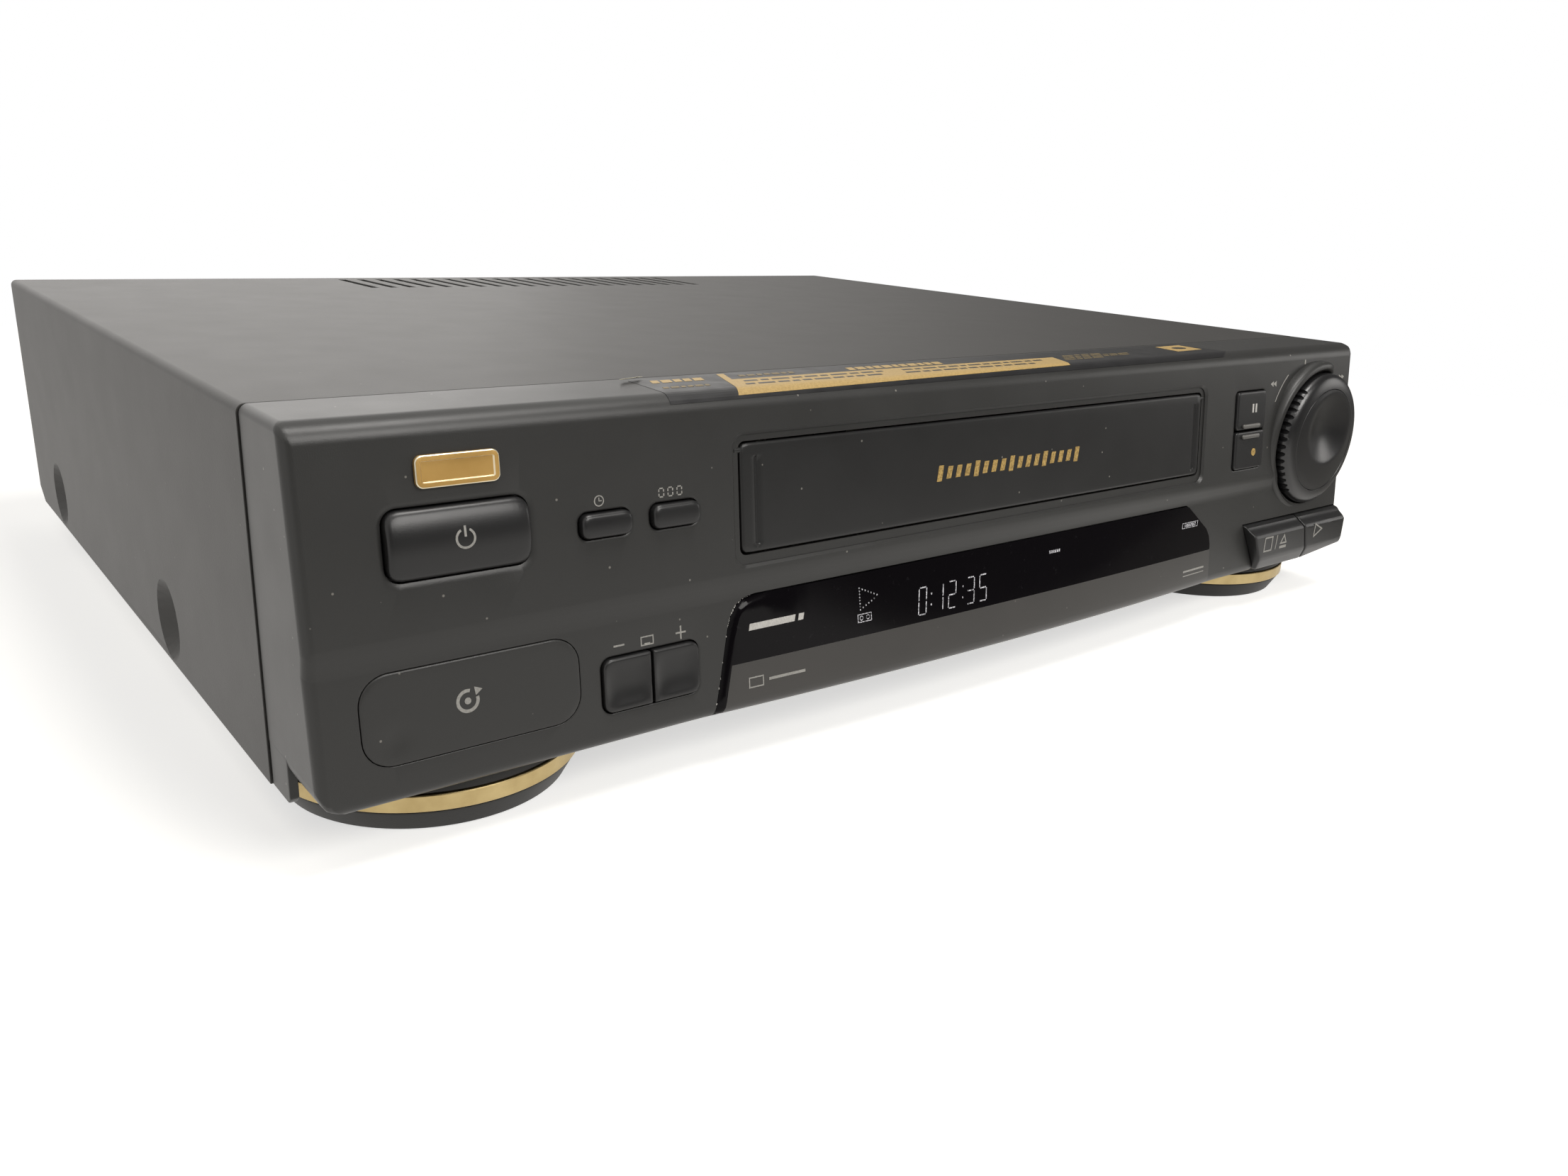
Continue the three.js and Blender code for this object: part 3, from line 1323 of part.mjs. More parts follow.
// Mechanism chassis: plate with curved slots for the guide posts, spindles, pins and bearings
const armPivotY = () => drumY - armPivotBack;
const armRadius = Math.hypot(armPostX - armPivotX, armPostFront - armPivotBack);
const armStart = Math.atan2(armPivotBack - armPostFront, armPostX - armPivotX);
const armSweep = THREE.MathUtils.degToRad(armSweepDegrees);
const camGearX = () => mechanismX - armPivotX - ((armGearTeeth + camGearTeeth) * gearModuleSize) / 2;
function arcSlot(side) {
  const wide = guidePostRadius + guideSlotGap;
  const slot = new THREE.Shape();
  slot.absarc(0, 0, armRadius + wide, armStart, armStart + armSweep);
  slot.absarc(0, 0, armRadius - wide, armStart + armSweep, armStart, true);
  slot.closePath();
  const settings = { depth: deckSheet + 2 * overrun, bevelEnabled: false,
    curveSegments: smallSides };
  const body = new THREE.ExtrudeGeometry(slot, settings).translate(0, 0, deckZ - overrun);
  const ends = [armStart, armStart + armSweep].map((angle) =>
    rod(wide, deckZ - overrun, deckTop + overrun, smallSides, armRadius * Math.cos(angle),
      armRadius * Math.sin(angle)));
  const shape = join(body, ...ends);
  const geometry = geometryOf(shape);
  if (side < 0) geometry.scale(-1, 1, 1);
  return geometry.translate(mechanismX + side * armPivotX, armPivotY(), 0);
}
function deckPlate() {
  const left = mechanismX - deckHalfWidth;
  const right = mechanismX + deckHalfWidth;
  let deck = cut(box(left, right, deckFrontY, deckRearY, deckZ, deckTop), arcSlot(-1), arcSlot(1));
  const middle = deckZ + deckSheet / 2;
  const capstan = [mechanismX + capstanX, capstanY];
  const bearing = rod(bearingRadius, middle, deckTop + bearingHeight, roundSides, ...capstan);
  const bore = rod(capstanShaftRadius + fit, deckZ - overrun, deckTop + bearingHeight + overrun,
    smallSides, ...capstan);
  const clutchHole = rod(spindleRadius + fit, deckZ - overrun, deckTop + overrun, smallSides,
    mechanismX, clutchY);
  deck = cut(join(deck, bearing), bore, clutchHole);
  for (const side of [-1, 1]) {
    deck = join(
      deck,
      rod(spindleRadius, middle, deckTop + hubHeight, pinSides,
        mechanismX + (side * reelSpacing) / 2, reelY),
      rod(pivotPinRadius, gearZ - fit, middle, pinSides, mechanismX + side * armPivotX,
        armPivotY()),
    );
  }
  for (const [x, y] of [[pinchPivotX, pinchPivotY], [tensionPivotX, tensionPivotY]]) {
    deck = join(deck, rod(spindleRadius, middle, deckTop + pinchLiftHeight + pinchArmSheet, pinSides,
      mechanismX + x, y));
  }
  add("deck_plate", deck, zincSteel);
}

// Drum: lower half fixed and cut flat on the deck, upper half turning on the same leaning axis
const drumTilt = THREE.MathUtils.degToRad(drumTiltDegrees);
function drumPiece(profile, sides) {
  const lift = drumRadius * Math.sin(drumTilt);
  return turned(profile, sides).rotateY(-drumTilt).translate(mechanismX, drumY, deckTop + lift);
}
function drums() {
  const lower = drumPiece([[0, -drumMiddleHeight], [drumRadius, -drumMiddleHeight], [drumRadius, drumMiddleHeight],
    [0, drumMiddleHeight]], fineSides);
  const under = box(-half, half, 0, coverDepth, -overrun, deckTop + fit);
  add("lower_drum", cut(lower, under), machined);
  const start = drumMiddleHeight + drumGap;
  const upper = drumPiece([[0, start], [drumRadius, start], [drumRadius, drumTopHeight],
    [drumHubRadius, drumTopHeight], [drumHubRadius, drumTopHeight + drumHubHeight],
    [0, drumTopHeight + drumHubHeight]], fineSides);
  add("upper_drum", upper, machined);
}

// Capstan with its flywheel under the deck, the reel clutch, and the belt round both
function capstan() {
  const wheel = turned([
    [0, 0],
    [flywheelRadius, 0],
    [flywheelRadius, flywheelThickness],
    [wheelHubRadius, flywheelThickness],
    [wheelHubRadius, deckZ - fit - flywheelZ],
    [capstanShaftRadius, deckZ - fit - flywheelZ],
    [capstanShaftRadius, capstanTop - flywheelZ],
    [0, capstanTop - flywheelZ],
  ], fineSides);
  add("capstan", wheel, machined, [mechanismX + capstanX, capstanY, flywheelZ]);
}
function reelClutch() {
  const gearBottom = deckTop + clutchGearHeight - flywheelZ;
  const clutch = turned([
    [0, 0],
    [clutchPulleyRadius, 0],
    [clutchPulleyRadius, flywheelThickness],
    [wheelHubRadius, flywheelThickness],
    [wheelHubRadius, deckZ - fit - flywheelZ],
    [spindleRadius, deckZ - fit - flywheelZ],
    [spindleRadius, gearBottom],
    [clutchGearRadius, gearBottom],
    [clutchGearRadius, gearBottom + driveThickness],
    [0, gearBottom + driveThickness],
  ], fineSides);
  add("reel_clutch", clutch, whiteNylon, [mechanismX, clutchY, flywheelZ]);
}
function beltOutline(offset) {
  const big = flywheelRadius + offset;
  const small = clutchPulleyRadius + offset;
  const spread = Math.acos((big - small) / clutchDistance);
  const outline = new THREE.Shape();
  outline.absarc(0, 0, big, spread, Math.PI * 2 - spread);
  outline.absarc(clutchDistance, 0, small, -spread, spread);
  outline.closePath();
  return outline;
}
function driveBelt() {
  const settings = { depth: beltHeight, bevelEnabled: false, curveSegments: smallSides };
  const outer = new THREE.ExtrudeGeometry(beltOutline(fit + beltWall), settings);
  const deeper = { depth: beltHeight + 2 * overrun, bevelEnabled: false,
    curveSegments: smallSides };
  const inner = new THREE.ExtrudeGeometry(beltOutline(fit), deeper).translate(0, 0, -overrun);
  const turn = Math.atan2(clutchY - capstanY, -capstanX);
  add("drive_belt", cut(outer, inner), rubber,
    [mechanismX + capstanX, capstanY, flywheelZ + beltInset], 0, turn);
}

// Idler: arm on the clutch shaft that swings its wheel to either reel table
function idler() {
  const z = deckTop + fit;
  const top = idlerArmSheet;
  const arm = join(
    box(-idlerArmWidth / 2, idlerArmWidth / 2, -idlerArmLength, 0, 0, top),
    rod(idlerArmWidth / 2 + 1.2 * fit, 0, top, smallSides),
    rod(idlerArmWidth / 2, 0, top, smallSides, 0, -idlerArmLength),
    rod(spindleRadius, top / 2, clutchGearHeight + driveThickness, pinSides, 0,
      -idlerArmLength),
  );
  const bore = rod(spindleRadius + fit, -overrun, top + overrun, smallSides);
  add("idler_arm", cut(arm, bore), zincSteel, [mechanismX, clutchY, z]);
  const wheel = cut(
    rod(idlerWheelRadius, 0, driveThickness, roundSides),
    rod(spindleRadius + fit, -overrun, driveThickness + overrun, smallSides),
  );
  add("idler_wheel", wheel, rubber, [mechanismX, clutchY - idlerArmLength,
    deckTop + clutchGearHeight]);
}

// Reel tables: disc, splined hub and the bore that turns on the deck's spindle
function reel(side, name) {
  const disc = join(
    rod(tableRadius, 0, tableThickness, fineSides),
    rod(hubRadius, tableThickness / 2, hubHeight + tableBottomGap, roundSides),
  );
  let table = disc;
  for (let i = 0; i < hubFins; i++) {
    const fin = box(0, hubRadius + hubFinLength, -hubFinWidth / 2, hubFinWidth / 2,
      tableThickness / 2, hubHeight - hubFinWidth).rotateZ((i * 2 * Math.PI) / hubFins);
    table = join(table, fin);
  }
  table = cut(table, rod(spindleRadius + fit, -overrun, hubHeight + 2 * tableBottomGap,
    smallSides));
  add(name, table, whiteNylon,
    [mechanismX + (side * reelSpacing) / 2, reelY, deckTop + tableBottomGap]);
}

// Gears with straight-sided teeth; a turn of half a tooth brings a gap to the contact line
function gearOutline(teeth, toothTurn) {
  const pitchRadius = (teeth * gearModuleSize) / 2;
  const tip = pitchRadius + gearAddendumShare * gearModuleSize;
  const root = pitchRadius - gearDedendumShare * gearModuleSize;
  const pitch = (2 * Math.PI) / teeth;
  const points = [];
  for (let i = 0; i < teeth; i++) {
    const middle = (i + toothTurn) * pitch;
    const halfTooth = (gearToothShare * pitch) / 2;
    const flank = halfTooth / 2;
    const corners = [[root, -halfTooth - flank / 2], [tip, -flank], [tip, flank],
      [root, halfTooth + flank / 2]];
    for (const [radius, angle] of corners) {
      points.push([radius * Math.cos(middle + angle), radius * Math.sin(middle + angle)]);
    }
  }
  return points;
}
function loadingArm(side, name) {
  const toothTurn = side > 0 ? 0.5 : 0;
  const gear = prism(gearOutline(armGearTeeth, toothTurn), 0, gearThickness);
  const plateZ = gearThickness + armLayerGap;
  const angle = side > 0 ? armStart : Math.PI - armStart;
  const reach = [armRadius * Math.cos(angle), armRadius * Math.sin(angle)];
  const plate = join(
    box(0, armRadius, -armWidth / 2, armWidth / 2, plateZ, plateZ + armSheet).rotateZ(angle),
    rod(armWidth / 2, plateZ, plateZ + armSheet, smallSides, ...reach),
    rod(armWidth * 0.75, gearThickness / 2, plateZ + armSheet, smallSides),
  );
  const post = rod(guidePostRadius, plateZ + armSheet / 2, guideTop - gearZ, smallSides, ...reach);
  const roller = rod(guideRollerRadius, deckTop + pinchLiftHeight - gearZ,
    guideTop - guidePostRadius - gearZ, smallSides, ...reach);
  const bore = rod(pivotPinRadius + fit, -overrun, plateZ + armSheet + overrun, smallSides);
  const shape = cut(join(gear, plate, post, roller), bore);
  add(name, shape, machined, [mechanismX + side * armPivotX, armPivotY(), gearZ]);
}
function camGear() {
  const gear = prism(gearOutline(camGearTeeth, 0.5), 0, gearThickness);
  const bore = rod(camPinRadius + fit, -overrun, gearThickness + overrun, smallSides);
  add("cam_gear", cut(gear, bore), whiteNylon, [camGearX(), armPivotY(), gearZ]);
}

// Pinch roller arm, tension arm, fixed heads and the loading motor
function pinch() {
  const angle = THREE.MathUtils.degToRad(pinchRestDegrees);
  const reach = [pinchArmLength * Math.cos(angle), pinchArmLength * Math.sin(angle)];
  const arm = join(
    box(0, pinchArmLength, -pinchArmWidth / 2, pinchArmWidth / 2, 0, pinchArmSheet).rotateZ(angle),
    rod(pinchArmWidth / 2, 0, pinchArmSheet, smallSides),
    rod(pinchArmWidth / 2, 0, pinchArmSheet, smallSides, ...reach),
    rod(spindleRadius, pinchArmSheet / 2, pinchRollerLiftHeight + pinchRollerLength + pinchArmSheet,
      pinSides, ...reach),
  );
  const bore = rod(spindleRadius + fit, -overrun, pinchArmSheet + overrun, smallSides);
  const z = deckTop + pinchLiftHeight;
  add("pinch_arm", cut(arm, bore), zincSteel, [mechanismX + pinchPivotX, pinchPivotY, z]);
  const roller = cut(
    rod(pinchRollerRadius, 0, pinchRollerLength, roundSides),
    rod(spindleRadius + fit, -overrun, pinchRollerLength + overrun, smallSides),
  );
  add("pinch_roller", roller, rubber, [mechanismX + pinchPivotX + reach[0],
    pinchPivotY + reach[1], z + pinchArmSheet + fit]);
}
function tensionArm() {
  const angle = THREE.MathUtils.degToRad(tensionRestDegrees);
  const reach = [tensionLength * Math.cos(angle), tensionLength * Math.sin(angle)];
  const arm = join(
    box(0, tensionLength, -pinchArmWidth / 2, pinchArmWidth / 2, 0, pinchArmSheet).rotateZ(angle),
    rod(pinchArmWidth / 2, 0, pinchArmSheet, smallSides),
    rod(pinchArmWidth / 2, 0, pinchArmSheet, smallSides, ...reach),
    rod(spindleRadius, pinchArmSheet / 2, guideTop - deckTop - pinchLiftHeight, pinSides, ...reach),
  );
  const bore = rod(spindleRadius + fit, -overrun, pinchArmSheet + overrun, smallSides);
  add("tension_arm", cut(arm, bore), zincSteel,
    [mechanismX + tensionPivotX, tensionPivotY, deckTop + pinchLiftHeight]);
}
function fixedHead(name, x, y) {
  const head = box(-headWidth / 2, headWidth / 2, -headDepth / 2, headDepth / 2, headLiftHeight,
    headLiftHeight + headHeight);
  const stalk = rod(headStalkRadius, 0, headLiftHeight + headHeight / 2, smallSides);
  const foot = box(-headWidth / 2, headWidth / 2, -headDepth / 2, headDepth / 2, 0, deckSheet);
  add(name, join(head, stalk, foot), machined, [mechanismX + x, y, deckTop + fit]);
}
function loadingMotor() {
  const z = motorRadius + motorBracketHeight;
  const can = rodAlongY(motorRadius, -motorLength / 2, motorLength / 2, roundSides, 0, z);
  const bracket = box(-motorRadius, motorRadius, -motorLength / 2, motorLength / 2, 0,
    motorRadius);
  add("loading_motor", join(can, bracket), machined,
    [mechanismX + motorX, motorY, deckTop + fit]);
}

// Carriage: fixed side frame with rails, a slide that runs in them, and the basket that the
// slide lowers; each hangs on pins in the slots of the one outside it
const pinYs = [basketFrontY + guidePinInset, basketFrontY + basketDepth - guidePinInset];
const basketPinZ = basketFloorZ + guidePinRadius * 2;
const mirrored = (place) => [-1, 1].map((side) => place(side));
const span = (a, b) => [Math.min(a, b), Math.max(a, b)];
function sideWall(side, outer, y0, y1, z0, z1) {
  const [x0, x1] = span(mechanismX + side * outer, mechanismX + side * (outer - carriageWall));
  return box(x0, x1, y0, y1, z0, z1);
}
function cassetteBasket() {
  const back = basketFrontY + basketDepth;
  const floor = basketFloorZ - carriageWall;
  const roof = box(mechanismX - basketHalfWidth, mechanismX + basketHalfWidth, basketFrontY, back,
    basketTop, basketTop + carriageWall);
  const sides = mirrored((side) => {
    const wall = sideWall(side, basketHalfWidth, basketFrontY, back, floor,
      basketTop + carriageWall / 2);
    const [l0, l1] = span(mechanismX + side * (basketHalfWidth - carriageWall / 2),
      mechanismX + side * (basketHalfWidth - basketLedgeWidth));
    const ledge = box(l0, l1, basketFrontY, back, floor, basketFloorZ);
    const stop = box(l0, l1, back - carriageWall, back, floor, basketFloorZ + basketStopHeight);
    const pins = pinYs.map((y) => {
      const [p0, p1] = span(mechanismX + side * (basketHalfWidth - carriageWall / 2),
        mechanismX + side * slideHalf);
      return rodAlongX(guidePinRadius, p0, p1, pinSides, y, basketPinZ);
    });
    return join(wall, ledge, stop, ...pins);
  });
  add("cassette_basket", join(roof, ...sides), zincSteel);
}
function carriageSlide() {
  const slotWide = guidePinRadius + fit;
  const [first, last] = pinYs;
  const sides = mirrored((side) => {
    let wall = solid(sideWall(side, slideHalf, first - guidePinInset / 2,
      last + guidePinInset / 2, slideFloorZ, slideTopZ));
    const [x0, x1] = span(mechanismX + side * (slideHalf - carriageWall - overrun),
      mechanismX + side * (slideHalf + overrun));
    for (const y of pinYs) {
      wall = cut(wall, box(x0, x1, y - slotWide, y + slotWide,
        basketPinZ - basketDrop - slotWide, basketPinZ + slotWide));
    }
    const [p0, p1] = span(mechanismX + side * (slideHalf - carriageWall / 2),
      mechanismX + side * frameHalf);
    const pins = pinYs.map((y) => rodAlongX(guidePinRadius, p0, p1, pinSides, y, frameRailZ));
    return join(wall, ...pins);
  });
  const middle = (first + last) / 2;
  const bar = box(mechanismX - slideHalf, mechanismX + slideHalf, middle - slideBarWidth / 2,
    middle + slideBarWidth / 2, slideTopZ - carriageWall, slideTopZ);
  add("carriage_slide", join(bar, ...sides), zincSteel);
}
function carriageFrame() {
  const slotWide = guidePinRadius + fit;
  const back = basketFrontY + frameDepth;
  const sides = mirrored((side) => {
    let wall = solid(sideWall(side, frameHalf, basketFrontY, back, deckTop + fit, frameTopZ));
    const [x0, x1] = span(mechanismX + side * (frameHalf - carriageWall - overrun),
      mechanismX + side * (frameHalf + overrun));
    for (const y of pinYs) {
      const rail = box(x0, x1, y - slotWide, Math.min(y + basketTravelLength, pinYs[1] + basketTravelLength)
        + slotWide, frameRailZ - slotWide, frameRailZ + slotWide);
      wall = cut(wall, rail);
    }
    const window = box(x0, x1, basketFrontY + frameBarWidth, back - frameBarWidth,
      deckTop + frameBarWidth, frameRailZ - frameBarWidth);
    return cut(wall, window);
  });
  const bars = [basketFrontY, back - frameBarWidth].map((y) =>
    box(mechanismX - frameHalf, mechanismX + frameHalf, y, y + frameBarWidth,
      frameTopZ - carriageWall, frameTopZ));
  add("carriage_frame", join(...bars, ...sides), zincSteel);
}

// The whole recorder
topCover();
basePan();
rearPanel();
frontBezel();
displayWindow();
displayTube();
cassetteDoor();
addFaceKeys();
addTransportKeys();
shuttleRing();
jogDial();
dialEncoder();
frontBoard();
frontFoot(-1, "front_foot_left", "foot_ring_left");
frontFoot(1, "front_foot_right", "foot_ring_right");
rearFoot(-1, "rear_foot_left");
rearFoot(1, "rear_foot_right");
coverScrew(-1, frontDimpleY, "cover_screw_left_front");
coverScrew(-1, rearDimpleY, "cover_screw_left_rear");
coverScrew(1, frontDimpleY, "cover_screw_right_front");
coverScrew(1, rearDimpleY, "cover_screw_right_rear");
avSocket("av_socket_lower", avSocketLowerZ);
avSocket("av_socket_upper", avSocketLowerZ + avSocketSpacing);
rfUnit();
mainsInlet();
mainBoard();
powerBoard();
transformer();
deckPlate();
drums();
capstan();
reelClutch();
driveBelt();
idler();
reel(-1, "supply_reel");
reel(1, "take_up_reel");
loadingArm(-1, "supply_loading_arm");
loadingArm(1, "take_up_loading_arm");
camGear();
pinch();
tensionArm();
fixedHead("erase_head", eraseHeadX, eraseHeadY);
fixedHead("sound_head", soundHeadX, soundHeadY);
loadingMotor();
carriageFrame();
carriageSlide();
cassetteBasket();

export default part;
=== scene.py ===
# %% [markdown]
# # A video cassette recorder, dressed for its picture
#
# The solids come in as a fixed frame: sixty nodes that already have the right size, place and
# joints. This lesson gives them looks. The front moulding, its keys, the display panel, the dial
# and the feet are modelled anew on the same measures, because the eye rests on them. The steel
# cover and the inner parts are copies of the solids with softened edges.
#
# All measures below are millimetres in the frame's axes: x to the right, y to the rear, z up.

# %% Load the frame
import math

import bmesh
import bpy
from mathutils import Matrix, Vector


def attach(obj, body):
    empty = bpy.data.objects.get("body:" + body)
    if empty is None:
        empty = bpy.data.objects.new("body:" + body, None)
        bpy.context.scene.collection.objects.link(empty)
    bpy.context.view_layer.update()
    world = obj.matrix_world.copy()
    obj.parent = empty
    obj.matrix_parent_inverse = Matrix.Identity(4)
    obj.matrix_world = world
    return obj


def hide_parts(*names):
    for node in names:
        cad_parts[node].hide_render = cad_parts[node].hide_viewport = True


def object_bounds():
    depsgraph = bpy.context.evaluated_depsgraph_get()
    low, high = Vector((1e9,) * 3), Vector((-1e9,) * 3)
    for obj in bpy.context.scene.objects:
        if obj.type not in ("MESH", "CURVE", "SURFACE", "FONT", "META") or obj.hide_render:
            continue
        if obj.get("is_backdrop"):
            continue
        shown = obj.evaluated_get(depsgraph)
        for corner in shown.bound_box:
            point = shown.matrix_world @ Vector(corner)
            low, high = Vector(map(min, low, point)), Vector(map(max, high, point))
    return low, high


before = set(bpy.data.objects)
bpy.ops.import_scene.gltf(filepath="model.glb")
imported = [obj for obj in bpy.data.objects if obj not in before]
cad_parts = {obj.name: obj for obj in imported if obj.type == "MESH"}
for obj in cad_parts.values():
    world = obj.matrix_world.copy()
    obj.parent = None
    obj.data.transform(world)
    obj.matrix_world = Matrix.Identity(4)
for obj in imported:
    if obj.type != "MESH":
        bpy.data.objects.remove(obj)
cad_low, cad_high = (tuple(corner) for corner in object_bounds())
print("solids span", [round(h - l, 4) for l, h in zip(cad_low, cad_high)], "m")

# %% [markdown]
# ## The camera
#
# The photograph was taken from the left of the front, a little above the recorder, with a wide
# lens close by: the left end looms and the right end runs away. A view could be set by eye, but
# here the place, the direction and the lens were worked out from the edges of the body, so the
# camera simply gets those numbers. The picture leans by a few degrees, so the camera rolls too.

# %% Camera
MM = 0.001


def metres(*values):
    return Vector(value * MM for value in values)


camera_place = metres(-266.29, -391.33, 139.58)
heading, tilt, roll = 0.6853, -0.3155, 0.0484
ahead = Vector((
    math.sin(heading) * math.cos(tilt), math.cos(heading) * math.cos(tilt), math.sin(tilt),
))
level_right = ahead.cross(Vector((0, 0, 1))).normalized()
level_up = level_right.cross(ahead)
right = level_right * math.cos(roll) + level_up * math.sin(roll)
up = level_up * math.cos(roll) - level_right * math.sin(roll)

bpy.ops.object.select_all(action="DESELECT")
bpy.ops.object.camera_add(location=camera_place)
camera = bpy.context.object
camera.name = "photograph_camera"
camera.rotation_mode = "QUATERNION"
camera.rotation_quaternion = ahead.to_track_quat("-Z", "Y")
camera_matrix = camera.matrix_world.to_3x3()
for axis, direction in enumerate((right, up, -ahead)):
    camera_matrix.col[axis] = direction
camera.rotation_quaternion = camera_matrix.to_quaternion()
SENSOR_WIDTH, PICTURE_WIDTH, FOCAL_PIXELS = 36, 2212, 1714.25
camera.data.sensor_width = SENSOR_WIDTH
camera.data.lens = FOCAL_PIXELS / PICTURE_WIDTH * SENSOR_WIDTH
camera.data.clip_start = 0.01
bpy.context.scene.camera = camera
print("lens", round(camera.data.lens, 2), "mm")

# %% [markdown]
# ## Tools used again and again
#
# Blender's operators work on what is selected, so each step first selects one piece and nothing
# else. In edit mode the faces, edges or corners to work on are picked by their place. A few
# short helpers do this, so that the steps below read like what a hand would do.

# %% Selecting and finishing
# Corners nearer than this, in metres, are one corner.
WELD = 0.000001


def nothing_selected():
    if bpy.context.object and bpy.context.object.mode != "OBJECT":
        bpy.ops.object.mode_set(mode="OBJECT")
    bpy.ops.object.select_all(action="DESELECT")


def alone(piece):
    nothing_selected()
    piece.select_set(True)
    bpy.context.view_layer.objects.active = piece


def shape(piece):
    alone(piece)
    bpy.ops.object.mode_set(mode="EDIT")
    bpy.ops.mesh.select_mode(type="VERT")


def done(piece, name=None):
    bpy.ops.object.mode_set(mode="OBJECT")
    if name:
        piece.name = piece.data.name = name
    return piece


def every_part():
    bpy.ops.mesh.select_all(action="SELECT")


def faced_out(piece, name=None):
    """Turns every face outwards and leaves edit mode."""
    every_part()
    bpy.ops.mesh.normals_make_consistent(inside=False)
    return done(piece, name)


def pick(kind, wanted):
    """Selects the faces, edges or corners for which wanted(x, y, z, part) says yes."""
    bpy.ops.mesh.select_mode(type=kind)
    bpy.ops.mesh.select_all(action="DESELECT")
    mesh = bpy.context.object.data
    form = bmesh.from_edit_mesh(mesh)
    groups = {"FACE": form.faces, "EDGE": form.edges, "VERT": form.verts}
    for part in groups[kind]:
        points = [part.co] if kind == "VERT" else [corner.co for corner in part.verts]
        centre = sum(points, Vector()) / len(points) / MM
        if wanted(*centre, part):
            part.select_set(True)
    form.select_flush_mode()
    bmesh.update_edit_mesh(mesh)


def move_points(place):
    """Moves each corner to place(x, y, z), in mm."""
    mesh = bpy.context.object.data
    form = bmesh.from_edit_mesh(mesh)
    for corner in form.verts:
        corner.co = Vector(place(*(corner.co / MM))) * MM
    bmesh.update_edit_mesh(mesh)


def extrude(x=0, y=0, z=0):
    bpy.ops.mesh.extrude_region_move(TRANSFORM_OT_translate={"value": metres(x, y, z)})


def applied(piece, kind, **settings):
    alone(piece)
    modifier = piece.modifiers.new(kind.title(), kind)
    for name, value in settings.items():
        setattr(modifier, name, value)
    bpy.ops.object.modifier_apply(modifier=modifier.name)


def cut_by(piece, cutter):
    applied(piece, "BOOLEAN", operation="DIFFERENCE", object=cutter, solver="EXACT")
    bpy.data.objects.remove(cutter)


def outward(piece):
    shape(piece)
    every_part()
    bpy.ops.mesh.remove_doubles(threshold=5 * WELD)
    return faced_out(piece)


def smooth(piece, angle=32, weighted=True):
    alone(piece)
    bpy.ops.object.shade_smooth_by_angle(angle=math.radians(angle))
    if weighted:
        applied(piece, "WEIGHTED_NORMAL", mode="FACE_AREA", weight=60, keep_sharp=True)
    return piece


def settle(piece, place=(0, 0, 0), turn=(0, 0, 0)):
    """Puts a piece that was made at the origin in its place, and writes the place into its mesh."""
    alone(piece)
    piece.rotation_euler = turn
    piece.location = metres(*place)
    bpy.ops.object.transform_apply(location=True, rotation=True, scale=True)
    return piece


def joined(first, *others):
    alone(first)
    for other in others:
        other.select_set(True)
    bpy.ops.object.join()
    return first


# %% [markdown]
# Two ways of starting a shape come back often. A chain of edges is drawn by extruding a single
# corner from point to point, and then swept along a line or spun round an axis. A slab is a plane
# whose corners are bevelled round and which is then extruded to its thickness.

# %% Drawing, spinning and slabs
def drawn(name, points):
    """A chain of edges through points in mm, left in edit mode with all of it selected."""
    nothing_selected()
    bpy.ops.mesh.primitive_plane_add(size=MM, location=(0, 0, 0))
    piece = bpy.context.object
    piece.name = piece.data.name = name
    bpy.ops.object.mode_set(mode="EDIT")
    bpy.ops.mesh.select_mode(type="VERT")
    every_part()
    bpy.ops.mesh.merge(type="CENTER")
    bpy.ops.transform.translate(value=metres(*points[0]))
    for before, after in zip(points, points[1:]):
        extrude(*(b - a for a, b in zip(before, after)))
    every_part()
    return piece


def filled(name, points):
    """A flat face with its corners at points in mm, left in edit mode."""
    piece = drawn(name, [*points, points[0]])
    bpy.ops.mesh.remove_doubles(threshold=WELD)
    every_part()
    bpy.ops.mesh.edge_face_add()
    return piece


def spun(name, profile, sides=96, closed=False):
    """Turns a profile of (radius, height) in mm round the z axis."""
    points = [(radius, 0, height) for radius, height in profile]
    piece = drawn(name, points + points[:1] if closed else points)
    bpy.ops.mesh.remove_doubles(threshold=WELD)
    every_part()
    bpy.ops.mesh.spin(
        steps=sides, angle=math.tau, center=(0, 0, 0), axis=(0, 0, 1), use_auto_merge=True,
    )
    return outward(done(piece))


def rounded_slab(name, width, height, radius, back, front, flare=0.0, steps=8, spread=1.0):
    """A slab facing +z that widens in front of a depth of flare, by spread for each mm."""
    nothing_selected()
    bpy.ops.mesh.primitive_plane_add(size=1, location=(0, 0, 0))
    piece = bpy.context.object
    piece.name = piece.data.name = name
    bpy.ops.object.mode_set(mode="EDIT")
    bpy.ops.transform.resize(value=(width * MM, height * MM, 1))
    bpy.ops.transform.translate(value=metres(0, 0, back))
    bpy.ops.mesh.bevel(offset=radius * MM, segments=steps, affect="VERTICES")
    every_part()
    if flare > 0:
        extrude(z=-flare - back)
        extrude(z=front + flare)
        wide = 2 * (front + flare) * spread
        bpy.ops.transform.resize(
            value=((width + wide) / width, (height + wide) / height, 1),
            center_override=(0, 0, 0),
        )
    else:
        extrude(z=front - back)
    return faced_out(piece)


# %% [markdown]
# ## Colours and the finishes of the outside
#
# Every finish is built from noise at the scale of the real thing: a moulded front has a spark
# eroded grain of a third of a millimetre, paint on steel is a little coarser, and both carry
# faint smudges some centimetres wide that only change the gloss. A flat colour with one
# roughness would look like a drawing. Colours are written as they look on screen and changed
# into Blender's own scale by one function.

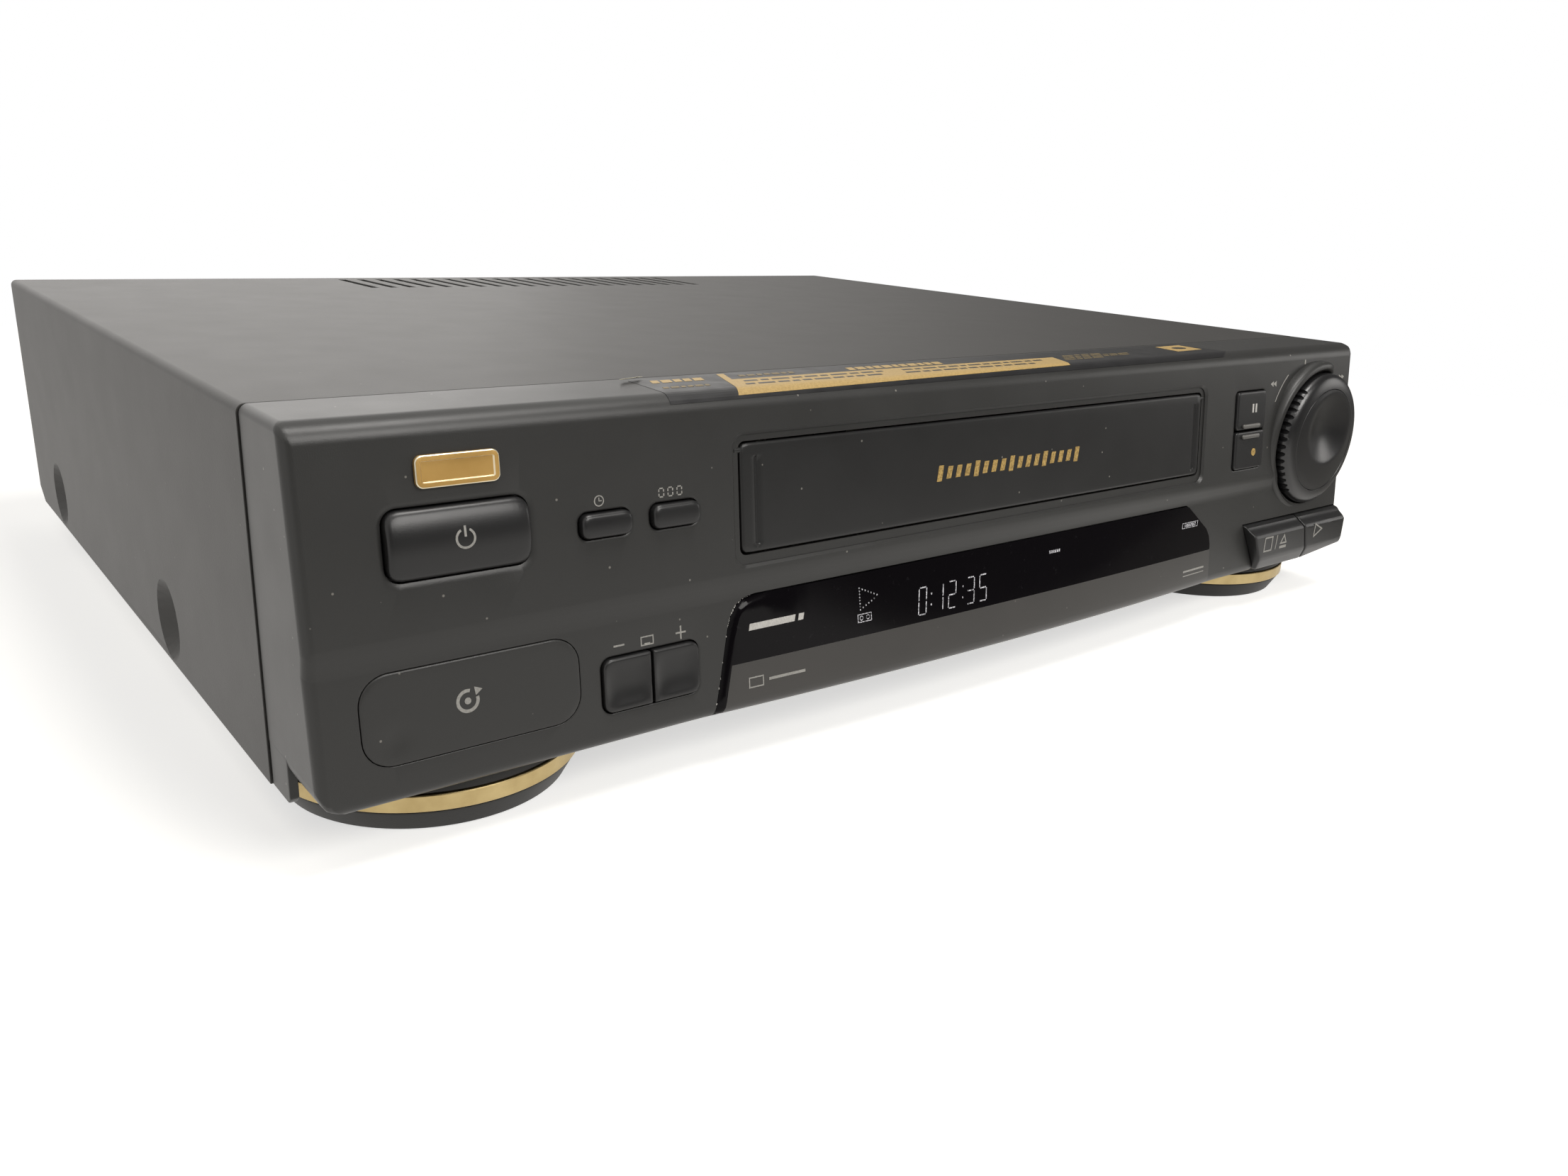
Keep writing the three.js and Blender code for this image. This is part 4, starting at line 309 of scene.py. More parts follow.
# %% Colour and node helpers
def colour(code):
    parts = [int(code[i:i + 2], 16) / 255 for i in (1, 3, 5)]
    return (*(p / 12.92 if p <= 0.04045 else ((p + 0.055) / 1.055) ** 2.4 for p in parts), 1)


def add_node(tree, kind, inputs=None, **settings):
    node = tree.nodes.new(kind)
    for name, value in settings.items():
        setattr(node, name, value)
    for name, value in (inputs or {}).items():
        if isinstance(value, bpy.types.NodeSocket):
            tree.links.new(value, node.inputs[name])
        else:
            node.inputs[name].default_value = value
    return node


def new_finish(name):
    finish = bpy.data.materials.new(name)
    finish.use_nodes = True
    tree = finish.node_tree
    tree.nodes.clear()
    place = add_node(tree, "ShaderNodeTexCoord").outputs["Object"]
    return finish, tree, place


def shader(tree, **sockets):
    inputs = {name.replace("_", " "): value for name, value in sockets.items()}
    made = add_node(tree, "ShaderNodeBsdfPrincipled", inputs)
    add_node(tree, "ShaderNodeOutputMaterial", {"Surface": made.outputs["BSDF"]})


def noise(tree, place, size, detail=2.0):
    """Noise whose blotches are about size millimetres wide."""
    return add_node(
        tree, "ShaderNodeTexNoise", {"Vector": place, "Scale": 1 / (size * MM), "Detail": detail},
    ).outputs[0]


def between(tree, value, low, high, new_low, new_high):
    return add_node(
        tree, "ShaderNodeMapRange",
        {"Value": value, "From Min": low, "From Max": high, "To Min": new_low, "To Max": new_high},
    ).outputs[0]


def wander(tree, place, size, detail, low, high, new_low, new_high):
    return between(tree, noise(tree, place, size, detail), low, high, new_low, new_high)


def cells(tree, place, size, output="Distance"):
    inputs = {"Vector": place, "Scale": 1 / (size * MM)}
    return add_node(tree, "ShaderNodeTexVoronoi", inputs).outputs[output]


def maths(tree, operation, first, second):
    return add_node(tree, "ShaderNodeMath", {0: first, 1: second}, operation=operation).outputs[0]


def blend(tree, share, first, second):
    inputs = {0: share, 6: first, 7: second}
    return add_node(tree, "ShaderNodeMix", inputs, data_type="RGBA").outputs[2]


def bumps(tree, height, depth, strength=1.0):
    return add_node(
        tree, "ShaderNodeBump", {"Height": height, "Distance": depth * MM, "Strength": strength},
    ).outputs["Normal"]


# %% [markdown]
# A moulding, a painted sheet and a satin plastic differ only in colour, gloss and grain, so one
# function mixes them: two close shades in wide blotches, a gloss that wanders with handling, the
# grain as a bump, and on the outside a few pale specks of dust.

# %% Grained plastics and paint
def grained(name, dark, light, grain, depth, gloss, dust=0.0, specular=0.5):
    finish, tree, place = new_finish(name)
    tone = blend(tree, wander(tree, place, 28, 4, 0.2, 0.8, 0, 1), colour(dark), colour(light))
    if dust:
        speck = between(tree, cells(tree, place, 7), 0.028, 0.05, dust, 0)
        tone = blend(tree, speck, tone, colour("#a8a49c"))
    shader(
        tree, Base_Color=tone, Roughness=wander(tree, place, 14, 5, 0.15, 0.85, *gloss),
        Specular_IOR_Level=specular, Normal=bumps(tree, noise(tree, place, grain, 3), depth),
    )
    return finish


# Fine-textured charcoal paint on the folded steel cover.
cover_paint = grained("cover_paint", "#2b2a28", "#2e2d2b", 0.45, 0.04, (0.46, 0.5), 0.2, 0.5)
# Spark-eroded dark grey moulding of the front.
front_plastic = grained("front_plastic", "#2c2c2b", "#2f2f2e", 0.3, 0.02, (0.36, 0.42), 0.5, 0.45)
# Keys are the same grey, polished by fingers.
key_plastic = grained("key_plastic", "#1f1f20", "#232323", 0.35, 0.012, (0.28, 0.36), 0.0, 0.4)
# Matt black moulding of the feet.
foot_plastic = grained("foot_plastic", "#2a2a29", "#2f2f2e", 0.5, 0.03, (0.5, 0.6), 0.0, 0.35)
print("grained finishes", len(bpy.data.materials))

# %% [markdown]
# ## The front moulding
#
# The front is one injection moulding: its upper face leans back by six degrees, breaks at a
# crease, and its lower face bows forward and turns under at a rounded chin. It could be pushed
# out of a box face by face, but the bow asks for many stations across the width. So the sharp
# side view is drawn once, swept across, bowed, closed at both ends, and its edges are rounded by
# weights: most at the lower corners, less along the top and the chin, least at the crease. The
# open back then lets the skin be thickened inwards to a real wall.

# %% Measures of the leaning face
SEAM_Y = -134.0
TOP_Z = 94.0
CHIN_Z = 13.3
HALF_FRONT = 199.6
LEAN = math.radians(6)
CREASE_DROP, BAND_DROP, CHIN_DROP = 45.5, 50.0, TOP_Z - CHIN_Z
FACE_TURN = (math.radians(90) - LEAN, 0, 0)
FACE_OUT = Vector((0, -math.cos(LEAN), math.sin(LEAN)))
NEAR = 0.01


def upper_reach(drop):
    return 25.2 + math.tan(LEAN) * (drop - 3)


def lower_reach(drop):
    return upper_reach(CREASE_DROP) - 1 + math.tan(LEAN) * (drop - BAND_DROP)


def bow(x, drop):
    across = (x - 6) / 112
    down = min(max((drop - BAND_DROP) / (CHIN_DROP - BAND_DROP), 0), 1)
    return 3.4 * max(0, 1 - across * across) * down


def on_upper(x, drop):
    return x, SEAM_Y - upper_reach(drop), TOP_Z - drop


def on_lower(x, drop):
    return x, SEAM_Y - lower_reach(drop) - bow(x, drop), TOP_Z - drop


# %% Sweep the side view across the width
side_view = [
    (0, TOP_Z), (-upper_reach(0), TOP_Z), (-upper_reach(CREASE_DROP), TOP_Z - CREASE_DROP),
    (-lower_reach(BAND_DROP), TOP_Z - BAND_DROP), (-lower_reach(CHIN_DROP), CHIN_Z), (0, CHIN_Z),
]
stations = [-HALF_FRONT] + [-190 + i * 380 / 58 for i in range(59)] + [HALF_FRONT]
moulding = drawn("front_moulding", [(stations[0], SEAM_Y + y, z) for y, z in side_view])
for before, after in zip(stations, stations[1:]):
    extrude(x=after - before)


def bowed(x, y, z):
    forward = y < SEAM_Y - 5
    return x, y - (bow(x, TOP_Z - z) if forward else 0), z


move_points(bowed)
for side in (-1, 1):
    pick("VERT", lambda x, y, z, part: abs(x - side * HALF_FRONT) < NEAR)
    bpy.ops.mesh.edge_face_add()
every_part()
bpy.ops.mesh.normals_make_consistent(inside=False)

# %% Weigh the edges and round them
CORNER_ROUND, TOP_ROUND, CHIN_ROUND = 7.0, 4.5, 3.5
SIDE_ROUND, HEAD_ROUND, CREASE_ROUND = 2.5, 2.0, 1.3


def edge_radius(x, y, z, edge):
    a, b = (corner.co / MM for corner in edge.verts)
    if y > SEAM_Y - NEAR:
        return 0
    if abs(a.x - b.x) < NEAR:
        if abs(abs(x) - HALF_FRONT) >= NEAR:
            return 0
        if abs(a.z - b.z) < NEAR:
            return CORNER_ROUND if z < TOP_Z / 2 else HEAD_ROUND
        return SIDE_ROUND
    if z > TOP_Z - NEAR:
        return TOP_ROUND
    return CHIN_ROUND if z < CHIN_Z + NEAR else CREASE_ROUND


form = bmesh.from_edit_mesh(moulding.data)
weights = form.edges.layers.float.new("bevel_weight_edge")
for edge in form.edges:
    middle = (edge.verts[0].co + edge.verts[1].co) / 2 / MM
    edge[weights] = edge_radius(*middle, edge) / CORNER_ROUND
bmesh.update_edit_mesh(moulding.data)
done(moulding)
applied(
    moulding, "BEVEL", limit_method="WEIGHT", width=CORNER_ROUND * MM, segments=6,
    use_clamp_overlap=False,
)
outward(moulding)
applied(moulding, "SOLIDIFY", thickness=2.5 * MM, offset=-1, use_even_offset=True)
print("front moulding", len(moulding.data.polygons), "faces")

# %% [markdown]
# The openings are cut with slabs that flare at the front, so every hole gets the small chamfer
# that catches the light in the photograph. The cassette way first gets a shallow recess round it.
# The window and the two keys at the lower right need outlines of their own, drawn point by point.

# %% Cutters for the keys and the cassette way
KEY_GAP, PAD_GAP = 0.45, 0.2


def face_hole(place, width, height, radius, depth=7.0, flare=0.5, spread=2.0):
    cutter = rounded_slab("cutter", width, height, radius, -depth, 2.5, flare, spread=spread)
    cut_by(moulding, settle(cutter, place, FACE_TURN))


DOOR_X, DOOR_DROP = 4.0, 26.3
recess = settle(rounded_slab("cutter", 197.8, 32.2, 3.4, -1.0, 2.5, 0.7), (0, -0.4, 0))
cut_by(moulding, settle(recess, on_upper(DOOR_X, DOOR_DROP), FACE_TURN))
face_hole(on_upper(DOOR_X, DOOR_DROP), 194.6, 28.2, 2.0, 12, 0.01, 1.0)

# The place, width, height and corner radius of each key that stands alone.
lone_keys = {
    "operate_button": (on_upper(-165.8, 25.9), 31.6, 14.6, 3.0),
    "timer_button": (on_upper(-131.2, 27.3), 13.0, 5.6, 2.0),
    "counter_reset_button": (on_upper(-112.6, 27.3), 13.0, 5.6, 2.0),
    "auto_set_button": (on_lower(-164.4, 61.9), 50.4, 20.0, 6.5),
}
for (place, width, height, radius), flare, gap in zip(
    lone_keys.values(), (0.65, 0.3, 0.3, 0.12), (KEY_GAP, KEY_GAP, KEY_GAP, PAD_GAP),
):
    face_hole(place, width + 2 * gap, height + 2 * gap, radius + gap, flare=flare)
face_hole(on_lower(-120, 65.7), 27.5, 13.9, 2.85, flare=0.22)
face_hole(on_upper(130, 27.2), 18.5, 27.9, 1.65, flare=0.2)
print("after the key openings", len(moulding.data.polygons), "faces")

# %% Cutters for the window, the transport keys and the dial
def leaning_slab(name, outline, front, back):
    """A slab with an outline of (x, z) that follows the bowed lower face."""
    piece = filled(name, [(x, 0, z) for x, z in outline])
    extrude(y=1)
    for step in range(1, 36):
        every_part()
        bpy.ops.mesh.bisect(plane_co=metres(-108 + step * 6.2, 0, 0), plane_no=(1, 0, 0))
    move_points(lambda x, y, z: (
        x, on_lower(x, TOP_Z - z)[1] - (front if y < 0.5 else back), z,
    ))
    return faced_out(piece)


def grown(outline, by):
    """An outline of (x, z) points, given clockwise, moved outwards by a distance."""
    moved = []
    for before, here, after in zip(outline[-1:] + outline[:-1], outline, outline[1:] + outline[:1]):
        a = Vector((here[0] - before[0], here[1] - before[1])).normalized()
        b = Vector((after[0] - here[0], after[1] - here[1])).normalized()
        out = Vector((-a.y - b.y, a.x + b.x)).normalized()
        reach = by / max(0.3, out.dot(Vector((-a.y, a.x))))
        moved.append((here[0] + out.x * reach, here[1] + out.y * reach))
    return moved


panel_left = [
    (-102.2, CHIN_Z), (-97.3, 36.2), (-96.3, 39.0), (-94.7, 41.3), (-92.3, 42.7), (-89, 43.2),
]
panel_right = [(96.5, 43.2), (98.6, 42.2), (109.0, 33.9), (110.6, 31.4), (111.4, 28.2)]
panel_hole = grown([(-102.7, 11), *panel_left[1:], *panel_right, (111.4, 11)], 0.3)
cut_by(moulding, leaning_slab("cutter", panel_hole, 2, -2.0))


def along_y(name, outline, front, back):
    piece = filled(name, [(x, front, z) for x, z in outline])
    extrude(y=back - front)
    return faced_out(piece)


transport_hole = [
    (133 - KEY_GAP, 31.8 + KEY_GAP), (141.8 - KEY_GAP, 14.4), (141.8 - KEY_GAP, 11),
    (198.2 + KEY_GAP, 11), (198.2 + KEY_GAP, 31.8 + KEY_GAP),
]
cut_by(moulding, along_y("cutter", transport_hole, SEAM_Y - 38, SEAM_Y - 21.5))

DIAL_X, DIAL_Z = 173.6, 60.4
TO_FRONT = (math.radians(90), 0, 0)
well = spun("cutter", [(0, 20), (25.0, 20), (25.0, 45), (0, 45)])
cut_by(moulding, settle(well, (DIAL_X, SEAM_Y, DIAL_Z), TO_FRONT))
smooth(moulding, 34)
print("front moulding with its openings", len(moulding.data.polygons), "faces")

# %% [markdown]
# The lower side corners carry short skirts that close the end of the cover, and the dial sits in
# a round collar that stands out of the leaning face, proud at the top and flush at the bottom. A
# skirt is a slab with one corner bevelled away, and the collar is spun from its section. Both are
# joined to the moulding, because they are one casting with it.

# %% Skirts and dial collar
def dressed(piece, body, slot, material, *nodes):
    """Gives a piece its finish, hangs it on the body it rides on, and hides the solids it stands
    for.
    """
    piece.data.materials.clear()
    piece.data.materials.append(material)
    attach(piece, body)
    for node in nodes:
        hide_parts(node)
    return piece


skirts = []
skirt_section = [(0, 9.1), (-10.5, 9.1), (-12, 10.6), (-12, 20.3), (0, 20.3)]
for side in (-1, 1):
    skirt = filled("skirt", [(side * 197.5, SEAM_Y + y, z) for y, z in skirt_section])
    extrude(x=side * 2.1)
    outward(done(skirt))
    applied(skirt, "BEVEL", width=0.4 * MM, segments=2, limit_method="ANGLE")
    skirts.append(smooth(skirt))

collar = spun("dial_collar", [
    (8.3, 20.5), (24.9, 20.5), (24.9, 28.4), (25.3, 29.1), (26.0, 29.6), (27.0, 29.6),
    (27.8, 29.2), (28.3, 28.4), (28.5, 27.2), (28.5, 23), (26.4, 23), (26.4, 18.4), (8.3, 18.4),
], sides=128, closed=True)
shape(collar)


def crescent(x, y, z):
    """Sinks the collar's right side under the leaning face."""
    share = min(max((x - 2) / 16, 0), 1)
    return x, y, z - (5.2 * share * share * (3 - 2 * share) if z > 26.5 else 0)


move_points(crescent)
done(collar)
settle(collar, (DIAL_X, SEAM_Y, DIAL_Z), TO_FRONT)
shape(collar)
every_part()
bpy.ops.mesh.bisect(
    plane_co=metres(HALF_FRONT - 0.05, 0, 0), plane_no=(1, 0, 0), use_fill=True, clear_outer=True,
)
done(collar)
smooth(collar, 34)
moulding = joined(moulding, collar, *skirts)
moulding.name = "front_moulding"
dressed(moulding, "chassis", "front_plastic", front_plastic, "front_bezel")

# %% [markdown]
# ## Keys and the tape door
#
# A moulded key is a soft pillow: its edge rolls over, its face is crowned or dished, and its
# sides run back into the opening. It could be a slab with a bevel, but then every key would have
# the same flat face. So a grid is laid out with its lines close together near the rim, its corners
# are pulled round, each point is raised to the height that the key has there, and the rim is
# extruded backwards. The flange and stem behind it are cut from a copy of the key's solid.

# %% The moulded cap
def stops(size, roll, step, extra=()):
    near = [roll * share for share in (0, 0.06, 0.18, 0.36, 0.6, 1)]
    count = max(2, round((size - 2 * roll) / step))
    middle = [roll + (size - 2 * roll) * i / count for i in range(1, count)]
    places = [*near, *middle, *(size - place for place in near)]
    return sorted({round(place - size / 2, 4) for place in places} | set(extra))


def corner_pulled(x, y, width, height, radius):
    over_x, over_y = abs(x) - (width / 2 - radius), abs(y) - (height / 2 - radius)
    if over_x <= 0 or over_y <= 0:
        return x, y
    u, v = over_x / radius, over_y / radius
    return (
        math.copysign(width / 2 - radius + radius * u * math.sqrt(1 - v * v / 2), x),
        math.copysign(height / 2 - radius + radius * v * math.sqrt(1 - u * u / 2), y),
    )


def rim_distance(x, y, width, height, radius):
    over_x, over_y = abs(x) - (width / 2 - radius), abs(y) - (height / 2 - radius)
    if over_x > 0 and over_y > 0:
        return radius - math.hypot(over_x, over_y)
    return min(width / 2 - abs(x), height / 2 - abs(y))


def fall(distance, roll, depth):
    away = min(max(1 - distance / roll, 0), 1)
    return depth * (1 - math.sqrt(1 - away * away))


def moulded_cap(name, width, height, radii, depth, front, roll=1.2, step=1.2, columns=(), rows=()):
    """A cap facing +z; radii are for its left and right half, front(x, y, rim) its height."""
    xs, ys = stops(width, roll, step, columns), stops(height, roll, step, rows)
    nothing_selected()
    bpy.ops.mesh.primitive_grid_add(
        x_subdivisions=len(xs) - 1, y_subdivisions=len(ys) - 1, size=1000 * MM,
    )
    piece = bpy.context.object
    shape(piece)

    def placed(x, y, z):
        x = xs[round((x / 1000 + 0.5) * (len(xs) - 1))]
        y = ys[round((y / 1000 + 0.5) * (len(ys) - 1))]
        radius = radii[0] if x < 0 else radii[1]
        x, y = corner_pulled(x, y, width, height, radius)
        return x, y, front(x, y, rim_distance(x, y, width, height, radius))

    move_points(placed)
    pick("EDGE", lambda x, y, z, edge: edge.is_boundary)
    extrude(z=-depth)
    bpy.ops.mesh.edge_face_add()
    return faced_out(piece, name)


def solid_copy(node, name):
    """A copy of a solid with its loose triangles merged into whole faces."""
    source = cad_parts[node]
    piece = source.copy()
    piece.data = source.data.copy()
    piece.parent = None
    piece.name = piece.data.name = name
    bpy.context.collection.objects.link(piece)
    outward(piece)
    shape(piece)
    every_part()
    bpy.ops.mesh.dissolve_limited(angle_limit=math.radians(0.5))
    return done(piece)


def stem_of(node, place, outwards, keep_behind):
    """The part of a key's solid that lies behind its visible cap."""
    piece = solid_copy(node, node + "_stem")
    shape(piece)
    every_part()
    bpy.ops.mesh.bisect(
        plane_co=metres(*place) - outwards * keep_behind * MM, plane_no=outwards,
        use_fill=True, clear_outer=True,
    )
    return smooth(done(piece))


# %% The eight keys on the leaning face
def operate_front(x, y, rim):
    return 2.0 - fall(rim, 1.3, 0.8) - 1.6 * abs(y / 7.3) ** 2.2 - 0.25 * abs(x / 15.8) ** 6


def small_front(x, y, rim):
    return 1.6 - fall(rim, 1.0, 0.8) - 0.25 * (y / 2.8) ** 2


def set_up_front(x, y, rim):
    away = math.hypot(x + 18.2, y + 4.6) / 4.2
    return 0.15 - fall(rim, 0.5, 0.3) - 0.45 * max(0, 1 - away * away) ** 2


def programme_front(x, y, rim):
    dish = max(0, 1 - (y / 5.4) ** 2) * max(0, 1 - (x / 6.2) ** 4)
    return 0.95 - fall(rim, 0.8, 0.7) - 1.0 * dish


def stacked_front(x, y, rim):
    return 0.8 - fall(rim, 0.6, 0.5)


cap_forms = {}
lone_fronts = [(operate_front, 1.3), (small_front, 1.0), (small_front, 1.0), (set_up_front, 0.6)]
for (node, (*where, radius)), (front, roll_width) in zip(lone_keys.items(), lone_fronts):
    cap_forms[node] = (*where, (radius, radius), front, roll_width)
for node, place, size, radii, front, roll_width in (
    ("program_down_button", on_lower(-126.8, 65.7), (13, 13), (2.4, 0.4), programme_front, 0.9),
    ("program_up_button", on_lower(-113.2, 65.7), (13, 13), (0.4, 2.4), programme_front, 0.9),
    ("pause_button", on_upper(130, 20.3), (17.6, 13.2), (1.2, 1.2), stacked_front, 0.8),
    ("record_button", on_upper(130, 34.1), (17.6, 13.2), (1.2, 1.2), stacked_front, 0.8),
):
    cap_forms[node] = (place, *size, radii, front, roll_width)
for node, (place, width, height, radii, front, roll_width) in cap_forms.items():
    step = 0.8 if width < 20 else 1.6
    cap = moulded_cap(node + "_cap", width, height, radii, 4.4, front, roll_width, step)
    smooth(settle(cap, place, FACE_TURN), 40, weighted=False)
    cap = joined(cap, stem_of(node, place, FACE_OUT, 2.9))
    finish = front_plastic if node == "auto_set_button" else key_plastic
    dressed(cap, node, "key_plastic", finish, node)
print("keys", len(cap_forms))

# %% [markdown]
# The pause and record keys each carry a raised finger bar next to the gap between them. The bars
# are small slabs with rounded tops, coloured a pale grey that is a painted highlight.

# %% Finger bars of the pause and record keys
# Pale plastic of the finger bars: a painted highlight for the light their tops catch from above.
painted_highlight_plastic = grained("painted_highlight_plastic", "#5a5957", "#6c6a66", 0.35, 0.01, (0.3, 0.4))
for node, drop in (("pause_button", 25.6), ("record_button", 29.2)):
    finger_bar = rounded_slab(node + "_bar", 10.6, 1.5, 0.7, -0.2, 0.95, steps=5)
    applied(finger_bar, "BEVEL", width=0.5 * MM, segments=4, limit_method="ANGLE", angle_limit=1)
    x, y, z = on_upper(129.6, drop)
    smooth(settle(finger_bar, (x, y - 0.8, z), FACE_TURN))
    dressed(finger_bar, node, "key_plastic", painted_highlight_plastic)

# %% [markdown]
# The tape door is a flat flap with a rolled rim and a shallow upright groove near each end. It
# hangs on two pins that ride in the moulding's ears.

# %% Tape door
GROOVES = (-92, 93.4)


def door_front(x, y, rim):
    height = -0.6 - fall(rim, 0.8, 0.6)
    if -11.6 < y < 10.2:
        for at in GROOVES:
            height -= 0.45 * max(0, 1 - ((x - at) / 0.75) ** 2)
    return height


groove_columns = [at + d for at in GROOVES for d in (-0.8, -0.55, -0.3, 0, 0.3, 0.55, 0.8)]
door = moulded_cap(
    "tape_door", 193.6, 27.2, (2.0, 2.0), 1.5, door_front, 0.9, 2.0,
    groove_columns, (-11.7, -11.5, 10.1, 10.3),
)
shape(door)
pick("FACE", lambda x, y, z, face: face.normal.z < -0.9)
bpy.ops.mesh.inset(thickness=1.4 * MM, depth=0)
extrude(z=0.7)
done(door)
pins = []
for side in (-1, 1):
    pin = spun("door_pin", [(0, 0), (0.55, 0), (0.8, 0.25), (0.8, 6), (0, 6)], sides=24)
    settle(pin, (side * 98.6, 12, -1.6), (0, -side * math.radians(90), 0))
    pins.append(pin)
door = joined(door, *pins)
settle(door, on_upper(DOOR_X, DOOR_DROP), FACE_TURN)
smooth(door, 40, weighted=False)
# The door's grey is a shade deeper than the front's.
door_plastic = grained("door_plastic", "#242424", "#272727", 0.3, 0.015, (0.3, 0.36), 0.5, 0.35)
dressed(door, "cassette_door", "front_plastic", door_plastic, "cassette_door")

# %% [markdown]
# Stop and play are two wedges at the lower right corner. They stand out further than the face,
# with a step along their top and a bevel below, and their outlines slant. The cap is laid out
# flat as before, and then its points are carried into the slanted outline.

# %% Stop and play keys
WEDGE_TOP, WEDGE_WIDTH, WEDGE_HEIGHT = 62.2, 32, 17.4


def wedge_reach(drop):
    knots = [(62.2, 30.3), (62.9, 31.6), (63.8, 32.3), (65.4, 34.3), (66.4, 35.0),
             (74.2, 35.0), (75.4, 34.7), (79.7, 32.6)]
    for (drop_a, reach_a), (drop_b, reach_b) in zip(knots, knots[1:]):
        if drop <= drop_b:
            share = max(0, (drop - drop_a) / (drop_b - drop_a))
            return reach_a + (reach_b - reach_a) * share
    return knots[-1][1]


def wedge_key(name, node, left, right, rise):
    """left and right are each the key's edge in x at its top and at its bottom."""
    rows = [WEDGE_HEIGHT / 2 - (drop - WEDGE_TOP) for drop in
            (62.5, 62.9, 63.3, 63.8, 64.6, 65.4, 65.9, 66.4, 67, 73.6, 74.2, 74.8, 75.4, 76)]
    cap = moulded_cap(
        name, WEDGE_WIDTH, WEDGE_HEIGHT, (0.7, 0.7), 7, lambda x, y, rim: -fall(rim, 0.7, 0.6),
        0.7, 1.5, (), rows,
    )
    shape(cap)

    def carried(x, y, z):
        across, down = x / WEDGE_WIDTH + 0.5, 0.5 - y / WEDGE_HEIGHT
        x_left = left[0] + (left[1] - left[0]) * down
        x_right = right[0] + (right[1] - right[0]) * down
        drop = WEDGE_TOP + down * (WEDGE_HEIGHT - rise * across)
        return x_left + (x_right - x_left) * across, SEAM_Y - wedge_reach(drop) - z, TOP_Z - drop

    move_points(carried)
    smooth(faced_out(cap), 28, weighted=False)
    cap = joined(cap, stem_of(node, (0, SEAM_Y - 25.8, 0), Vector((0, -1, 0)), 0))
    dressed(cap, node, "key_plastic", key_plastic, node)


wedge_key("stop_key", "stop_eject_button", (133, 141.8), (167.2, 172.5), 0)
wedge_key("play_key", "play_button", (167.8, 173.1), (198.2, 198.2), 3.2)

# %% [markdown]
# ## The display panel
#
# One bent sheet of smoked plastic covers the lit tube and runs down over the chin. Its upper part
# is polished and nearly black; below a sharp line it is sprayed with the same satin grey as the
# front. The sheet is drawn from the side, swept across, bowed like the face it closes, and its
# slanted ends are cut with planes. Then it gets its two millimetres of thickness inwards.

# %% Finishes of the panel
def smoked(name, tint, rough, specular):
    finish, tree, place = new_finish(name)
    haze = wander(tree, place, 22, 5, 0.3, 0.8, *rough)
    scuff = wander(tree, place, 1.6, 3, 0.66, 0.8, 0, 0.2)
    tone = blend(tree, scuff, colour(tint), colour("#3a3a3c"))
    shader(tree, Base_Color=tone, Roughness=haze, Specular_IOR_Level=specular)
    return finish


# Polished smoked plastic in front of the tube.
smoked_panel = smoked("smoked_panel", "#0b090c", (0.08, 0.15), 0.12)
# The same sheet where it is sprayed satin grey.
panel_spray = grained("panel_spray", "#3a3937", "#3f3d3b", 0.3, 0.01, (0.34, 0.42), 0.2, 0.5)
# Dark glass of the display tube behind the panel.
tube_glass = smoked("tube_glass", "#101314", (0.1, 0.2), 0.5)

# %% Bent sheet
SPRAY_Z = 26.4
RIM_WIDTH, RIM_DROP = 2.4, 1.5


left_ends, right_ends = (list(zip(side, side[1:])) for side in (panel_left, panel_right))


def end_normal(start, end):
    (xa, za), (xb, zb) = start, end
    return Vector((za - zb, 0, xb - xa)).normalized()


def inside_left(x, z):
    """How far a point of the sheet lies inside its slanted left end."""
    return min(-end_normal(a, b).dot(Vector((x - a[0], 0, z - a[1]))) for a, b in left_ends)


def rim_drop(x, z):
    """The sheet's left end is turned back to a rounded black rim."""
    inside = inside_left(x, z)
    if x > -60 or not -0.05 < inside < RIM_WIDTH:
        return 0
    return RIM_DROP * min(1 - inside / RIM_WIDTH, 1) ** 1.6


turns = [math.radians(56 * i / 5) for i in range(6)]
chin_centre = (-lower_reach(CHIN_DROP - CHIN_ROUND) + CHIN_ROUND, CHIN_Z + CHIN_ROUND)
panel_side = [(-lower_reach(TOP_Z - z), z) for z in (43.2, 39, 35, 31, SPRAY_Z, 22, 19)] + [
    (chin_centre[0] - CHIN_ROUND * math.cos(t), chin_centre[1] - CHIN_ROUND * math.sin(t))
    for t in turns
]
PANEL_WIDTH, PANEL_STEPS = 214.4, 54
panel = drawn("display_panel", [(-103, SEAM_Y + y, z) for y, z in panel_side])
for step in range(PANEL_STEPS):
    extrude(x=PANEL_WIDTH / PANEL_STEPS)
move_points(lambda x, y, z: (x, y - 0.4 - bow(x, TOP_Z - z), z))
for start, end in left_ends + right_ends:
    every_part()
    bpy.ops.mesh.bisect(
        plane_co=metres(start[0], 0, start[1]), plane_no=end_normal(start, end), clear_outer=True,
    )
for start, end in left_ends:
    outwards = end_normal(start, end)
    for inset in (0.6, 1.2, 1.8, RIM_WIDTH):
        shape(panel)
        pick("FACE", lambda x, y, z, face: x < -84)
        point = metres(start[0], 0, start[1]) - outwards * inset * MM
        bpy.ops.mesh.bisect(plane_co=point, plane_no=outwards)
move_points(lambda x, y, z: (x, y + rim_drop(x, z), z))
faced_out(panel)
applied(panel, "SOLIDIFY", thickness=2 * MM, offset=-1)
applied(panel, "BEVEL", width=0.3 * MM, segments=2, limit_method="ANGLE", angle_limit=1.0)
smooth(panel, 34)
dressed(panel, "chassis", "smoked_panel", smoked_panel, "display_window")
panel.data.materials.append(panel_spray)
